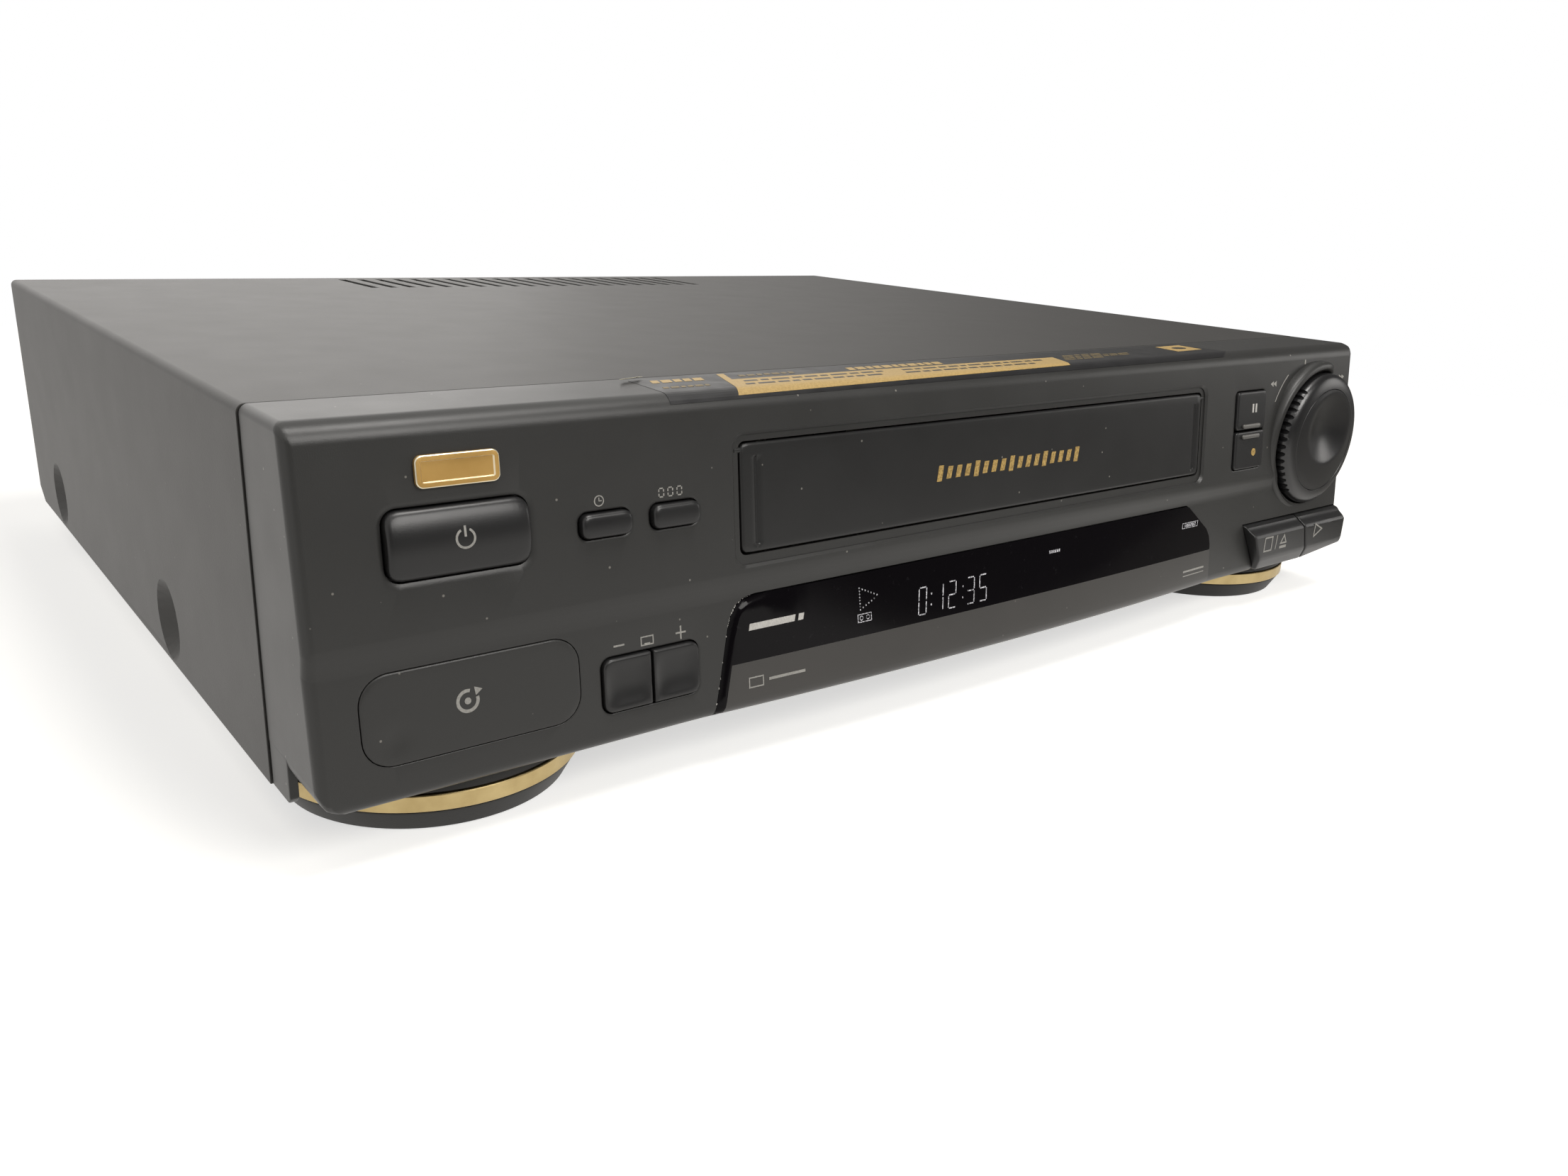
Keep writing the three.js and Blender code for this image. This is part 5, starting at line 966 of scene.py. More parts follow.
for face in panel.data.polygons:
    x, z = face.center.x / MM, face.center.z / MM
    if z < SPRAY_Z and face.normal.y < -0.2 and (x > -60 or inside_left(x, z) > RIM_WIDTH):
        face.material_index = 1

# %% [markdown]
# ## The dial
#
# A sprung ring turns by a part turn to wind the tape, and the free disc inside it steps through
# the pictures. Both are spun. The ring has a soft shoulder and sixteen finger grooves on its left,
# which are cut with thin rods, and the disc is dished with the pull of a finger, off its middle.

# %% Shuttle ring
# The dial's darker, harder plastic.
dial_plastic = grained("dial_plastic", "#161617", "#19191a", 0.35, 0.01, (0.26, 0.33), 0.0, 0.65)
ring = spun("shuttle_ring", [
    (8.6, 20.9), (24.0, 20.9), (24.4, 21.4), (24.4, 30.2), (24.2, 31.0), (23.7, 31.8),
    (22.9, 32.5), (21.8, 33.0), (20.4, 33.35), (19.2, 33.5), (19.08, 33.4), (19.08, 22.6),
    (8.6, 22.6),
], sides=144, closed=True)
rods = []
for i in range(16):
    turn = math.radians(130 + 6.5 * i)
    rod = spun("groove_rod", [(0, 22.5), (0.9, 22.5), (0.9, 36), (0, 36)], sides=12)
    settle(rod, (24.5 * math.cos(turn), 24.5 * math.sin(turn), 0))
    rods.append(rod)
cut_by(ring, joined(*rods))
settle(ring, (DIAL_X, SEAM_Y, DIAL_Z), TO_FRONT)
smooth(ring, 38)
dressed(ring, "shuttle_ring", "key_plastic", dial_plastic, "shuttle_ring")

# %% Jog disc
disc_rims = [(18.6 * i / 24, 33.5 + 0.9 * (1 - (i / 24) ** 3)) for i in range(25)]
jog = spun("jog_disc", [
    *disc_rims, (18.86, 33.48), (18.94, 33.38), (18.94, 30.2), (3, 30.2), (3, 21), (0, 21),
], sides=128)
shape(jog)


def dished(x, y, z):
    if z < 33.45:
        return x, y, z
    away = math.hypot((x - 1.6) / 15.0, (y - 4.2) / 13.4)
    return x, y, z - 3.2 * max(0, 1 - away * away) ** 1.35


move_points(dished)
done(jog)
settle(jog, (DIAL_X, SEAM_Y, DIAL_Z), TO_FRONT)
smooth(jog, 38, weighted=False)
dressed(jog, "jog_dial", "key_plastic", dial_plastic, "jog_dial")

# %% [markdown]
# ## Feet
#
# The front stands on two wide discs that taper to a smaller base, each with a gold ring pressed
# into a groove. They are spun with a hundred and twenty sides, since their round edge is seen
# close up. The gold is a thin metal foil: fine turning lines run round it, so its bump stretches
# along the ring.

# %% Gold finishes
def stretched(tree, place, times):
    lines = add_node(tree, "ShaderNodeMapping", {"Vector": place, "Scale": (1, 1, times)})
    return lines.outputs[0]


def gilded(name, deep, bright, rough, metallic=1.0):
    finish, tree, place = new_finish(name)
    worn = wander(tree, place, 9, 4, 0.3, 0.7, 0, 1)
    fine = noise(tree, stretched(tree, place, 14), 1.4, 2)
    shader(
        tree, Base_Color=blend(tree, worn, colour(deep), colour(bright)), Metallic=metallic,
        Roughness=between(tree, fine, 0.3, 0.7, *rough), Normal=bumps(tree, fine, 0.01, 0.6),
    )
    return finish


# Satin gold foil round the feet.
gold_foil = gilded("gold_foil", "#af9a6c", "#c8b484", (0.34, 0.46))
# Gold lacquer of the raised plate on the front.
gold_lacquer = gilded("gold_lacquer", "#b58f4c", "#c39c58", (0.42, 0.52), 0.35)

# %% Spun feet and rings
FRONT_FOOT, REAR_FOOT = (160, -124.5), (165, 128)
foot_forms = [
    ("front_foot_", "front_foot_", FRONT_FOOT, 120, False, "foot_plastic", foot_plastic, [
        (0, 0.6), (26, 0.6), (27, 0), (33.4, 0), (34.0, 0.35), (36.7, 5.2), (36.8, 5.6),
        (34.9, 5.7), (34.9, 10.25), (36.8, 10.3), (37, 10.5), (37, 13), (0, 13),
    ]),
    ("foot_band_", "foot_ring_", FRONT_FOOT, 120, True, "gold_trim", gold_foil, [
        (35.25, 6.0), (37.2, 6.0), (37.4, 6.2), (37.4, 9.8), (37.2, 10.0), (35.25, 10.0),
    ]),
    ("rear_foot_", "rear_foot_", REAR_FOOT, 64, False, "foot_plastic", foot_plastic, [
        (0, 0.8), (7.6, 0.8), (8.4, 0), (11.1, 0), (11.5, 0.3), (12.9, 5.2), (13, 5.6), (13, 13),
        (0, 13),
    ]),
]
for side, hand in ((-1, "left"), (1, "right")):
    for name, node, (x, y), sides, closed, slot, finish, section in foot_forms:
        piece = settle(spun(name + hand, section, sides, closed), (side * x, y, 0))
        dressed(smooth(piece), "chassis", slot, finish, node + hand)
print("feet done")

# %% [markdown]
# ## Steel cover
#
# The cover is one folded sheet, and the solid already has its bends, its pressed dimples and its
# vent slots. It is copied, its triangles are merged to whole faces, and every sharp edge gets the
# small radius that a press leaves, so that the seam and the slots catch the light.

# %% Softened copies
def slot_of(finish):
    """A finish's name without the number that Blender adds to a name in use."""
    return finish.name.split(".")[0]


def softened(node, width, body, finish, slot=None, name=None):
    """A dressed copy of a solid, with its sharp edges rounded by width."""
    piece = solid_copy(node, name or node + "_piece")
    applied(
        piece, "BEVEL", width=width * MM, segments=2, limit_method="ANGLE",
        angle_limit=math.radians(40), use_clamp_overlap=True,
    )
    return dressed(smooth(piece, 36), body, slot or slot_of(finish), finish, node)


softened("top_cover", 0.25, "chassis", cover_paint, name="steel_cover")

# %% [markdown]
# ## Printed marks
#
# The symbols on a moulding are pad printed: a film of ink a few hundredths of a millimetre thick.
# They could be painted in the material, but a real thin shape stays sharp from close up and moves
# with its key. So each mark is an outline, filled, and given a little thickness. Outlined symbols
# get an inset whose middle is deleted. The symbols are plain and common ones.

# %% Inks
def ink(name, dull, bright, rough, glow=0.0):
    finish, tree, place = new_finish(name)
    worn = wander(tree, place, 0.5, 3, 0.35, 0.62, 0, 1)
    tone = blend(tree, worn, colour(dull), colour(bright))
    light = {"Emission_Color": tone, "Emission_Strength": glow} if glow else {}
    shader(tree, Base_Color=tone, Roughness=rough, **light)
    return finish


# Pad-printed grey ink, a little rubbed.
grey_ink = ink("grey_ink", "#91908b", "#a3a19c", 0.5)
# White ink behind the polished panel.
white_ink = ink("white_ink", "#b9b7b2", "#cbc9c4", 0.4)
# Gold ink: a bronze pigment in clear lacquer.
gold_ink = ink("gold_ink", "#8f7440", "#c4a461", 0.42)
# Blue-white phosphor of the tube, seen through smoked plastic.
phosphor = ink("phosphor", "#3b3b3e", "#c9c8cc", 0.3, 0.35)


# %% Outlines in millimetres
def bar(x, y, width, height, slant=0.0):
    """A bar centred on x, y whose top leans to the right by slant."""
    low, high = -slant / 2, slant / 2
    return [
        (x - width / 2 + low, y - height / 2), (x + width / 2 + low, y - height / 2),
        (x + width / 2 + high, y + height / 2), (x - width / 2 + high, y + height / 2),
    ]


def arc(x, y, radius, line, first, last, steps=20):
    """A curved stroke from one angle to another, in degrees."""
    turns = [math.radians(first + (last - first) * i / steps) for i in range(steps + 1)]
    rings = [(radius + line / 2, turns), (radius - line / 2, turns[::-1])]
    return [(x + r * math.cos(t), y + r * math.sin(t)) for r, run in rings for t in run]


def disc(x, y, across, tall, steps=20):
    turns = [math.tau * i / steps for i in range(steps)]
    return [(x + across * math.cos(t), y + tall * math.sin(t)) for t in turns]


def digits(text, x, y, width, height, gap, line, slant):
    """Seven-segment digits; x, y is the lower left corner of the first."""
    lit = {"0": "abcdef", "1": "bc", "2": "abged", "3": "abgcd", "5": "afgcd"}
    middle, half, inner = height / 2, height / 2, line * 0.62
    strokes = {
        "a": (width / 2, height, 1), "g": (width / 2, middle, 1), "d": (width / 2, 0, 1),
        "f": (0, middle * 1.5, 0), "b": (width, middle * 1.5, 0),
        "e": (0, middle * 0.5, 0), "c": (width, middle * 0.5, 0),
    }
    shapes = []
    for index, digit in enumerate(text):
        for letter in lit[digit]:
            along, up, flat = strokes[letter]
            at = x + index * (width + gap) + along + slant * up
            if flat:
                shapes.append(bar(at, y + up, width - 2 * inner, line, slant * line))
            else:
                tall = half - 2 * inner
                shapes.append(bar(at, y + up, line, tall, slant * tall))
    return shapes


# %% Inked shapes
def inked(name, outlines, hollows=(), line=0.35, thick=0.06):
    """Thin shapes of ink: outlines are filled, hollows are only a line along their edge."""
    parts = []
    for index, outline in enumerate([*outlines, *hollows]):
        part = filled(name, [(x, y, 0) for x, y in outline])
        if index >= len(outlines):
            bpy.ops.mesh.inset(thickness=line * MM)
            bpy.ops.mesh.delete(type="FACE")
            every_part()
        extrude(z=thick)
        parts.append(faced_out(part, name))
    return joined(*parts) if len(parts) > 1 else parts[0]


def printed(name, body, place, outlines, hollows=(), line=0.35, height=None, turn=FACE_TURN,
            slot="key_plastic", finish=grey_ink):
    """A mark at its place, laid on a face whose height there is height(x, y)."""
    symbol = inked(name, outlines, hollows, line)
    if height:
        shape(symbol)
        move_points(lambda x, y, z: (x, y, z + height(x, y)))
        done(symbol)
    dressed(settle(symbol, place, turn), body, slot, finish)


# %% Marks on the keys
# A distance from the rim at which no cap falls away.
CENTRE = 99.0
WEDGE_FACE = SEAM_Y - 35.0
printed(
    "operate_mark", "operate_button", on_upper(-165.3, 25.6),
    [arc(0, 0, 2.0, 0.5, 118, 422, 30), bar(0, 1.5, 0.5, 2.3)],
    height=lambda x, y: operate_front(x, y, CENTRE),
)
head = [(1.6, 2.9), (3.5, 2.1), (1.9, 0.9)]
printed(
    "set_up_mark", "auto_set_button", on_lower(-166.4, 61.4),
    [arc(0, 0, 2.3, 0.75, 75, 375, 30), head, disc(0, 0, 0.75, 0.75)], height=lambda x, y: 0.15,
)
printed(
    "pause_mark", "pause_button", on_upper(131.6, 19.6),
    [bar(-0.95, 0, 0.95, 3.0), bar(0.95, 0, 0.95, 3.0)], height=lambda x, y: 0.8,
    finish=white_ink,
)
printed(
    "record_mark", "record_button", on_upper(132.6, 35.1), [disc(0, 0, 1.35, 1.35)],
    height=lambda x, y: 0.8, slot="gold_trim", finish=gold_ink,
)
printed(
    "stop_mark", "stop_eject_button", (140.6, WEDGE_FACE, TOP_Z - 69.4),
    [bar(8.6, 0, 0.5, 5.4, 0.3), bar(13.6, -2.3, 4.6, 1.0)],
    [bar(3.2, 0, 5.4, 5.6), [(11.2, -1.1), (16.0, -1.1), (13.6, 2.6)]], 0.55, turn=TO_FRONT,
)
printed(
    "play_mark", "play_button", (178.6, WEDGE_FACE, TOP_Z - 68.4), [],
    [[(-2.8, -2.9), (3.4, 0), (-2.8, 2.9)]], 0.55, turn=TO_FRONT,
)

# %% [markdown]
# The same ink marks the places beside the keys and round the dial: a clock over the timer key,
# plain zeros over the counter key, minus, plus and a small screen over the two programme keys,
# and winding arrows beside the dial, with a thin stroke that follows its collar.

# %% Marks on the front moulding
clock = [arc(0, 0, 1.15, 0.26, 0, 180), arc(0, 0, 1.15, 0.26, 180, 360),
         bar(0, 0.35, 0.24, 0.8), bar(0.3, -0.02, 0.75, 0.24)]
arrow = [[(0, 0), (1.9, 1.0), (1.9, -1.0)], [(1.9, 0), (3.8, 1.0), (3.8, -1.0)]]
face_marks = [
    (on_upper(-132.6, 21.9), clock, []),
    (on_upper(-113.6, 21.9), digits("000", -3.2, -1.0, 1.3, 2.0, 1.2, 0.3, 0.0), []),
    (on_lower(-120, 56.5), [
        bar(-8.6, 0, 2.9, 0.42), bar(8.6, 0, 2.9, 0.42), bar(8.6, 0.94, 0.42, 1.45),
        bar(8.6, -0.94, 0.42, 1.45), bar(-0.9, -0.9, 1.6, 0.3),
    ], []),
    (on_upper(164.8, 5.2), [bar(0, 0, 0.8, 1.6)], []),
    (on_upper(142.3, 12), arrow, []),
    (on_upper(193.9, 12), [[(-x, y) for x, y in half] for half in arrow], []),
    (on_upper(182.8, 9.5), [bar(0, 0, 0.5, 3.2, -2.6)], []),
    (on_lower(-120.9, 56.7), [], [bar(0, 0, 3.6, 2.3)]),
]
for (x, y, z), outlines, hollows in face_marks:
    printed(
        "face_mark", "chassis", (x, y - 0.01, z), outlines, hollows, 0.3, slot="front_plastic",
    )
printed(
    "dial_stroke", "chassis", on_upper(DIAL_X, TOP_Z - DIAL_Z),
    [arc(0, 0, 31.4, 0.35, 129, 151, 24)], slot="front_plastic",
)
print("printed marks", len(face_marks) + 7)

# %% [markdown]
# ## Gold trim
#
# The raised plate at the upper left is die cast, lacquered gold on top and left bright on its
# bevelled edge. Here it is a plain oblong plate with a sunk field. Along the tape door runs a row
# of slanted gold bars, hot foil stamped.

# %% Raised plate
plate = rounded_slab("gold_plate", 18.4, 6.8, 1.6, -0.2, 0.95, steps=6)
shape(plate)
pick("FACE", lambda x, y, z, face: z > 0.9)
bpy.ops.mesh.inset(thickness=1.15 * MM)
bpy.ops.mesh.inset(thickness=0.25 * MM, depth=-0.35 * MM)
done(plate)
applied(plate, "BEVEL", width=0.28 * MM, segments=2, limit_method="ANGLE", angle_limit=1.0)
smooth(plate, 50)
# Pale worn edge of the lacquered casting.
plate_edge = gilded("bare_casting", "#d8cfb4", "#efe6cc", (0.3, 0.4))
settle(plate, on_upper(-165.2, 11.4), FACE_TURN)
dressed(plate, "chassis", "gold_trim", gold_lacquer)
plate.data.materials.append(plate_edge)
for face in plate.data.polygons:
    if 0.25 < face.normal.dot(FACE_OUT) < 0.93:
        face.material_index = 1

# %% Slanted bars on the tape door
row = [bar(-29.6 + i * 3.7, 0, 1.9, 3.4 if i % 4 else 4.4, 0.9) for i in range(17)]
stamped = inked("door_bars", row, thick=0.05)
x, y, z = on_upper(DOOR_X + 1.6, 27.0)
settle(stamped, (x, y + 0.59, z), FACE_TURN)
dressed(stamped, "cassette_door", "gold_trim", gold_ink)

# %% [markdown]
# ## What the display shows
#
# The tube behind the smoked panel lights small dots and bars. They are drawn on the panel's face,
# since the plastic in front is nearly black: a dotted play sign, a small cassette, a leaning
# counter in seven segments, and a few plain bars where the real one has lettering.

# %% Lit marks and white prints on the panel
def on_panel(piece, at_x, at_drop, proud=0.41):
    """Carries a flat mark on to the bowed face, point by point."""
    shape(piece)

    def carried(x, y, z):
        face_x, face_y, face_z = on_lower(at_x + x, at_drop - y)
        return face_x, face_y - proud - z + rim_drop(face_x, face_z), face_z

    move_points(carried)
    return faced_out(piece)


dots = [(-3.2, 2.9 - 0.83 * i) for i in range(8)]
dots += [(-3.2 + 1.04 * i, 2.9 - 0.45 * i) for i in range(1, 7)]
dots += [(-3.2 + 1.04 * i, -2.9 + 0.45 * i) for i in range(1, 6)]
lit_marks = [
    ("lit_play_sign", (-51.2, 57.6), [disc(x, y, 0.2, 0.24, 8) for x, y in dots], [], 0),
    ("lit_cassette", (-53.0, 62.8), [
        arc(x, 0, 0.55, 0.2, first, first + 180, 8) for x in (-1.15, 1.15) for first in (0, 180)
    ], [bar(0, 0, 5.0, 2.3)], 0.22),
    ("lit_counter", (-33.2, 65.6), [
        *digits("0", 0, 0, 2.9, 7.4, 1, 0.36, 0.13),
        *digits("12", 6.6, 0, 2.9, 7.4, 2.3, 0.36, 0.13),
        *digits("35", 19.4, 0, 2.9, 7.4, 2.3, 0.36, 0.13),
        *(bar(x + 0.13 * y, y, 0.42, 0.5) for x in (4.9, 17.6) for y in (2.2, 5.2)),
    ], [], 0),
    ("lit_bar", (26.2, 56.0), [bar(0.9 * i - 2.25, 0, 0.6, 0.9) for i in range(6)], [], 0),
    ("lit_bars", (98.6, 57.2), [bar(1.15 * i - 2.9, 0, 0.75, 1.0, 0.2) for i in range(6)], [], 0),
    ("lit_frame", (98.6, 57.2), [], [bar(0, 0, 9.2, 1.9, 0.3)], 0.2),
]
for name, place, outlines, hollows, line in lit_marks:
    mark = inked(name, outlines, hollows, line, 0.03)
    dressed(on_panel(mark, *place), "chassis", "tube_glass", phosphor)
panel_prints = [
    ("white_line", (-82.6, 58.8), white_ink,
     [bar(-1.4, 0, 14.6, 1.7, 0.4), bar(7.9, 0, 1.7, 1.7, 0.4)], []),
    ("strip_mark", (-88.2, 73.1), grey_ink, [bar(8.2, 0, 11.6, 0.7)], [bar(-1.6, 0, 4.6, 2.8)]),
    ("strip_line", (101.4, 73.2), grey_ink, [bar(0, 0, 13, 0.6), bar(0, -1.5, 13, 0.3)], []),
]
for name, place, finish, outlines, hollows in panel_prints:
    mark = inked(name, outlines, hollows, 0.32)
    dressed(on_panel(mark, *place), "chassis", "smoked_panel", finish)
print("display marks done")

# %% [markdown]
# ## The sticker on the top strip
#
# A shop sticker runs along the top of the front and bends over its rounded edge: black film with
# a gold band in the shape of an L and small gold fields. It could be an image, but here every
# field is a thin sheet. Each is drawn flat, by its place along the front and its distance from
# the seam, cut into strips where the edge curves, and then carried on to the surface. Its writing
# is replaced by rows of plain dashes. The left corner has come loose and stands up.

# %% Sheets on the top strip
TOP_FLAT = upper_reach(0) - TOP_ROUND
EDGE_RADIUS = TOP_ROUND * math.tan(math.radians(48))


def on_strip(x, run, height):
    if run <= TOP_FLAT:
        return x, SEAM_Y - run, TOP_Z + height
    turn, reach = (run - TOP_FLAT) / EDGE_RADIUS, EDGE_RADIUS + height
    return (
        x, SEAM_Y - TOP_FLAT - reach * math.sin(turn),
        TOP_Z - EDGE_RADIUS + reach * math.cos(turn),
    )


def laid(name, outlines, lift, material, thick=0.05):
    """Outlines of (x, distance from the seam), laid on the strip at a height of lift."""
    sheet = inked(name, [[(x, -run) for x, run in outline] for outline in outlines], thick=thick)
    shape(sheet)
    for cut in range(8):
        every_part()
        bpy.ops.mesh.bisect(plane_co=metres(0, -TOP_FLAT - 0.8 * cut, 0), plane_no=(0, 1, 0))
    move_points(lambda x, y, z: on_strip(x, -y, z + lift))
    dressed(faced_out(sheet), "chassis", "front_plastic", material)


def film(name, code, rough, specular=0.5):
    finish, tree, place = new_finish(name)
    haze = wander(tree, place, 6, 4, 0.3, 0.7, *rough)
    shader(tree, Base_Color=colour(code), Roughness=haze, Specular_IOR_Level=specular)
    return finish


# Black vinyl film of the sticker, satin.
black_film = film("black_film", "#232324", (0.28, 0.4), 0.4)
# Metallic gold print on the film.
gold_film = ink("gold_film", "#a1864f", "#b2965e", 0.42)
# The same gold where the film is rubbed thin.
dim_gold = ink("dim_gold", "#5a4e35", "#7d6b42", 0.45)
# Paper backing of the loose corner.
paper_back = film("paper_back", "#cfcab4", (0.6, 0.7))


def dashes(x, run, end, tall, lean, lengths, gap=1.1):
    """A row of leaning dashes from x to end whose lengths come round again and again."""
    row = []
    while x < end:
        long = lengths[len(row) % len(lengths)]
        row.append(bar(x + long / 2, run, long, tall, -lean))
        x += long + gap
    return row


# %% Fields of the sticker
laid("sticker_film", [[
    (-110.5, 3.2), (-107, 1.4), (116.5, 1.4), (118.5, 21), (113, 24.2), (-112.2, 25.3),
]], 0.01, black_film)
laid("sticker_band", [[
    (-83.6, 2.2), (-81.4, 2.2), (-84.9, 10.8), (39, 10.6), (33.0, 22.6), (-92.4, 24.3),
]], 0.07, gold_film)
gold_fields = [
    *dashes(-106.5, 7.2, -92.5, 3.6, 1.4, (2.2, 2.9, 2.2), 0.7),
    *dashes(-43.0, 7.0, -8.0, 3.8, 1.5, (2.4, 3.2, 1.9), 0.8),
    [(101, 4.6), (115.6, 4.0), (113.8, 14.6), (98.6, 15.6)],
]
laid("sticker_fields", gold_fields, 0.07, gold_film)
dim_fields = [
    *dashes(-108.5, 15.6, -94.5, 2.0, 0.8, (1.6, 2.3, 1.3), 0.6),
    *dashes(-79.5, 6.4, -61.0, 2.4, 0.9, (1.8, 2.4, 1.5), 0.8),
    *(dash for run, end in ((9.4, 62), (11.6, 76), (13.8, 70), (16.0, 58))
      for dash in dashes(38.5 + (16 - run), run, end, 0.9, 0.3, (5.1, 2.6, 3.8), 0.8)),
]
laid("sticker_dim_fields", dim_fields, 0.07, dim_gold)
dark_fields = [
    *dashes(-83.5, 14.0, -36.0, 1.5, 0.6, (4.2, 2.4, 5.6, 3.1)),
    *dashes(-86.0, 18.2, -40.0, 1.5, 0.6, (2.8, 5.2, 3.6, 2.2)),
    *dashes(-29.0, 14.0, 30.0, 1.5, 0.6, (3.8, 2.2, 5.0, 2.9)),
    *dashes(-31.5, 18.2, 20.0, 1.5, 0.6, (5.4, 2.6, 3.4)),
    disc(107.4, 9.8, 3.4, 1.9),
]
laid("sticker_dark_fields", dark_fields, 0.13, black_film, 0.03)

# %% The loose corner
flap = drawn("sticker_corner", [(-112.2, -3.8, 0), (-105.4, -1.5, 0)])
extrude(x=-1.6, y=-1.2)
extrude(x=-0.8, y=-1.0)
move_points(lambda x, y, z: (
    x, SEAM_Y + y, TOP_Z + 0.12 + 0.32 * max(0, -y - 2.4 + 0.33 * (x + 112.2)),
))
done(flap)
applied(flap, "SOLIDIFY", thickness=0.08 * MM, offset=0)
outward(flap)
dressed(flap, "chassis", "front_plastic", paper_back)
print("sticker done")

# %% [markdown]
# ## Wear along the display panel
#
# Where the panel's left end meets the moulding, the paint has chipped to a row of pale flakes.
# They are irregular specks of a few tenths of a millimetre, drawn one by one along the outline.

# %% Pale flakes
# Steps that never come round to the same share spread the flakes without a pattern.
flakes = []
chain = [(x - 0.35, z) for x, z in panel_left]
for index in range(30):
    share = (index * 0.618034) % 1
    part = share * (len(chain) - 1)
    (xa, za), (xb, zb) = chain[int(part)], chain[int(part) + 1]
    step = part - int(part)
    x, z = xa + (xb - xa) * step, za + (zb - za) * step
    size = 0.12 + 0.3 * ((index * 0.7548777) % 1) ** 2
    tall = size * (0.8 + 1.6 * ((index * 0.5698403) % 1))
    flake = inked("flake", [[
        (-size / 2, -tall / 2), (size * 0.4, -tall * 0.35), (size * 0.5, tall / 2),
        (-size * 0.2, tall * 0.4),
    ]], thick=0.05)
    flakes.append(on_panel(flake, x, TOP_Z - z, 0.0))
wear = joined(*flakes)
wear.name = "worn_flakes"
dressed(wear, "chassis", "front_plastic", white_ink)

# %% [markdown]
# ## The rear and the underside
#
# The rear panel and the pan are zinc-plated steel, pressed and left bare. Zinc has large faint
# crystals and a slight yellow cast where it was passivated. The sockets are black moulded plastic
# with plated contacts, and the aerial unit is a tinned can with two turned barrels.

# %% Metal and plastic finishes of the rear
def plated(name, deep, bright, patch, rough, metallic=1.0):
    finish, tree, place = new_finish(name)
    crystals = {"Color": cells(tree, place, patch, "Color")}
    grain = add_node(tree, "ShaderNodeRGBToBW", crystals).outputs[0]
    mixed = maths(tree, "MULTIPLY", grain, noise(tree, place, patch * 4, 4))
    share = between(tree, mixed, 0.05, 0.6, 0, 1)
    fine = noise(tree, place, 0.6, 3)
    shader(
        tree, Base_Color=blend(tree, share, colour(deep), colour(bright)), Metallic=metallic,
        Roughness=between(tree, share, 0, 1, *rough),
        Normal=bumps(tree, fine, 0.006, 0.5),
    )
    return finish


def turned(name, deep, bright, pitch, rough):
    finish, tree, place = new_finish(name)
    fine = noise(tree, stretched(tree, place, 12), pitch * 12, 3)
    wide = wander(tree, place, 6, 3, 0.3, 0.7, 0, 1)
    shader(
        tree, Base_Color=blend(tree, wide, colour(deep), colour(bright)), Metallic=1.0,
        Roughness=between(tree, fine, 0.3, 0.7, *rough), Normal=bumps(tree, fine, 0.002, 0.4),
    )
    return finish


# Electro-galvanised sheet steel with a light passivation.
zinc_steel = plated("zinc_steel", "#98968f", "#a3a19a", 1.6, (0.36, 0.42))
# Tinned steel of the screened cans, brighter and softer.
screen_can = plated("screen_can", "#aeaca5", "#bab8b1", 1.2, (0.3, 0.36))
# Turned aluminium and ground steel of the drum, shafts and posts.
machined_metal = turned("machined_metal", "#b3b3b0", "#bdbdba", 0.18, (0.2, 0.25))
# Black zinc-plated screws.
black_zinc = plated("black_zinc", "#1c1c1e", "#2e2d2c", 0.8, (0.32, 0.42), 0.6)
# Glass-filled black polyester of the sockets.
socket_plastic = grained("socket_plastic", "#161617", "#1c1c1d", 0.25, 0.02, (0.42, 0.52))
# Natural acetal of the gears and reel tables.
white_nylon = grained("white_nylon", "#d4d1c6", "#dedbd1", 0.6, 0.01, (0.34, 0.44))
# Nitrile rubber with a dusty bloom.
black_rubber = grained("black_rubber", "#191919", "#222222", 0.4, 0.03, (0.6, 0.75))
# Laminated iron core of the transformer under varnish.
iron_core = plated("iron_core", "#4a4038", "#544a40", 1.0, (0.42, 0.52), 0.5)


def board_finish():
    finish, tree, place = new_finish("circuit_board")
    cloud = wander(tree, place, 12, 4, 0.3, 0.7, 0, 1)
    paper = blend(tree, cloud, colour("#8a6d40"), colour("#93764a"))
    lands = between(tree, cells(tree, place, 3.6), 0.2, 0.24, 1, 0)
    paper = blend(tree, lands, paper, colour("#b5b1a6"))
    shader(tree, Base_Color=paper, Roughness=between(tree, cloud, 0, 1, 0.42, 0.54))
    return finish


# Phenolic paper board, tan, with tinned solder joints all over it.
circuit_board = board_finish()

# %% Rear panel, pan and their fittings
fixed_copies = [
    ("base_pan", zinc_steel, 0.3), ("rear_panel", zinc_steel, 0.2), ("rf_unit", screen_can, 0.25),
    ("av_socket_lower", socket_plastic, 0.3), ("av_socket_upper", socket_plastic, 0.3),
    ("mains_inlet", socket_plastic, 0.3), ("front_board", circuit_board, 0.2),
    ("main_board", circuit_board, 0.2), ("power_board", circuit_board, 0.2),
    ("transformer", iron_core, 0.4), ("display_tube", tube_glass, 0.4),
    ("dial_encoder", screen_can, 0.3), ("deck_plate", zinc_steel, 0.2),
    ("carriage_frame", zinc_steel, 0.2), ("lower_drum", machined_metal, 0.3),
    ("erase_head", machined_metal, 0.3), ("sound_head", machined_metal, 0.3),
    ("loading_motor", machined_metal, 0.4),
]
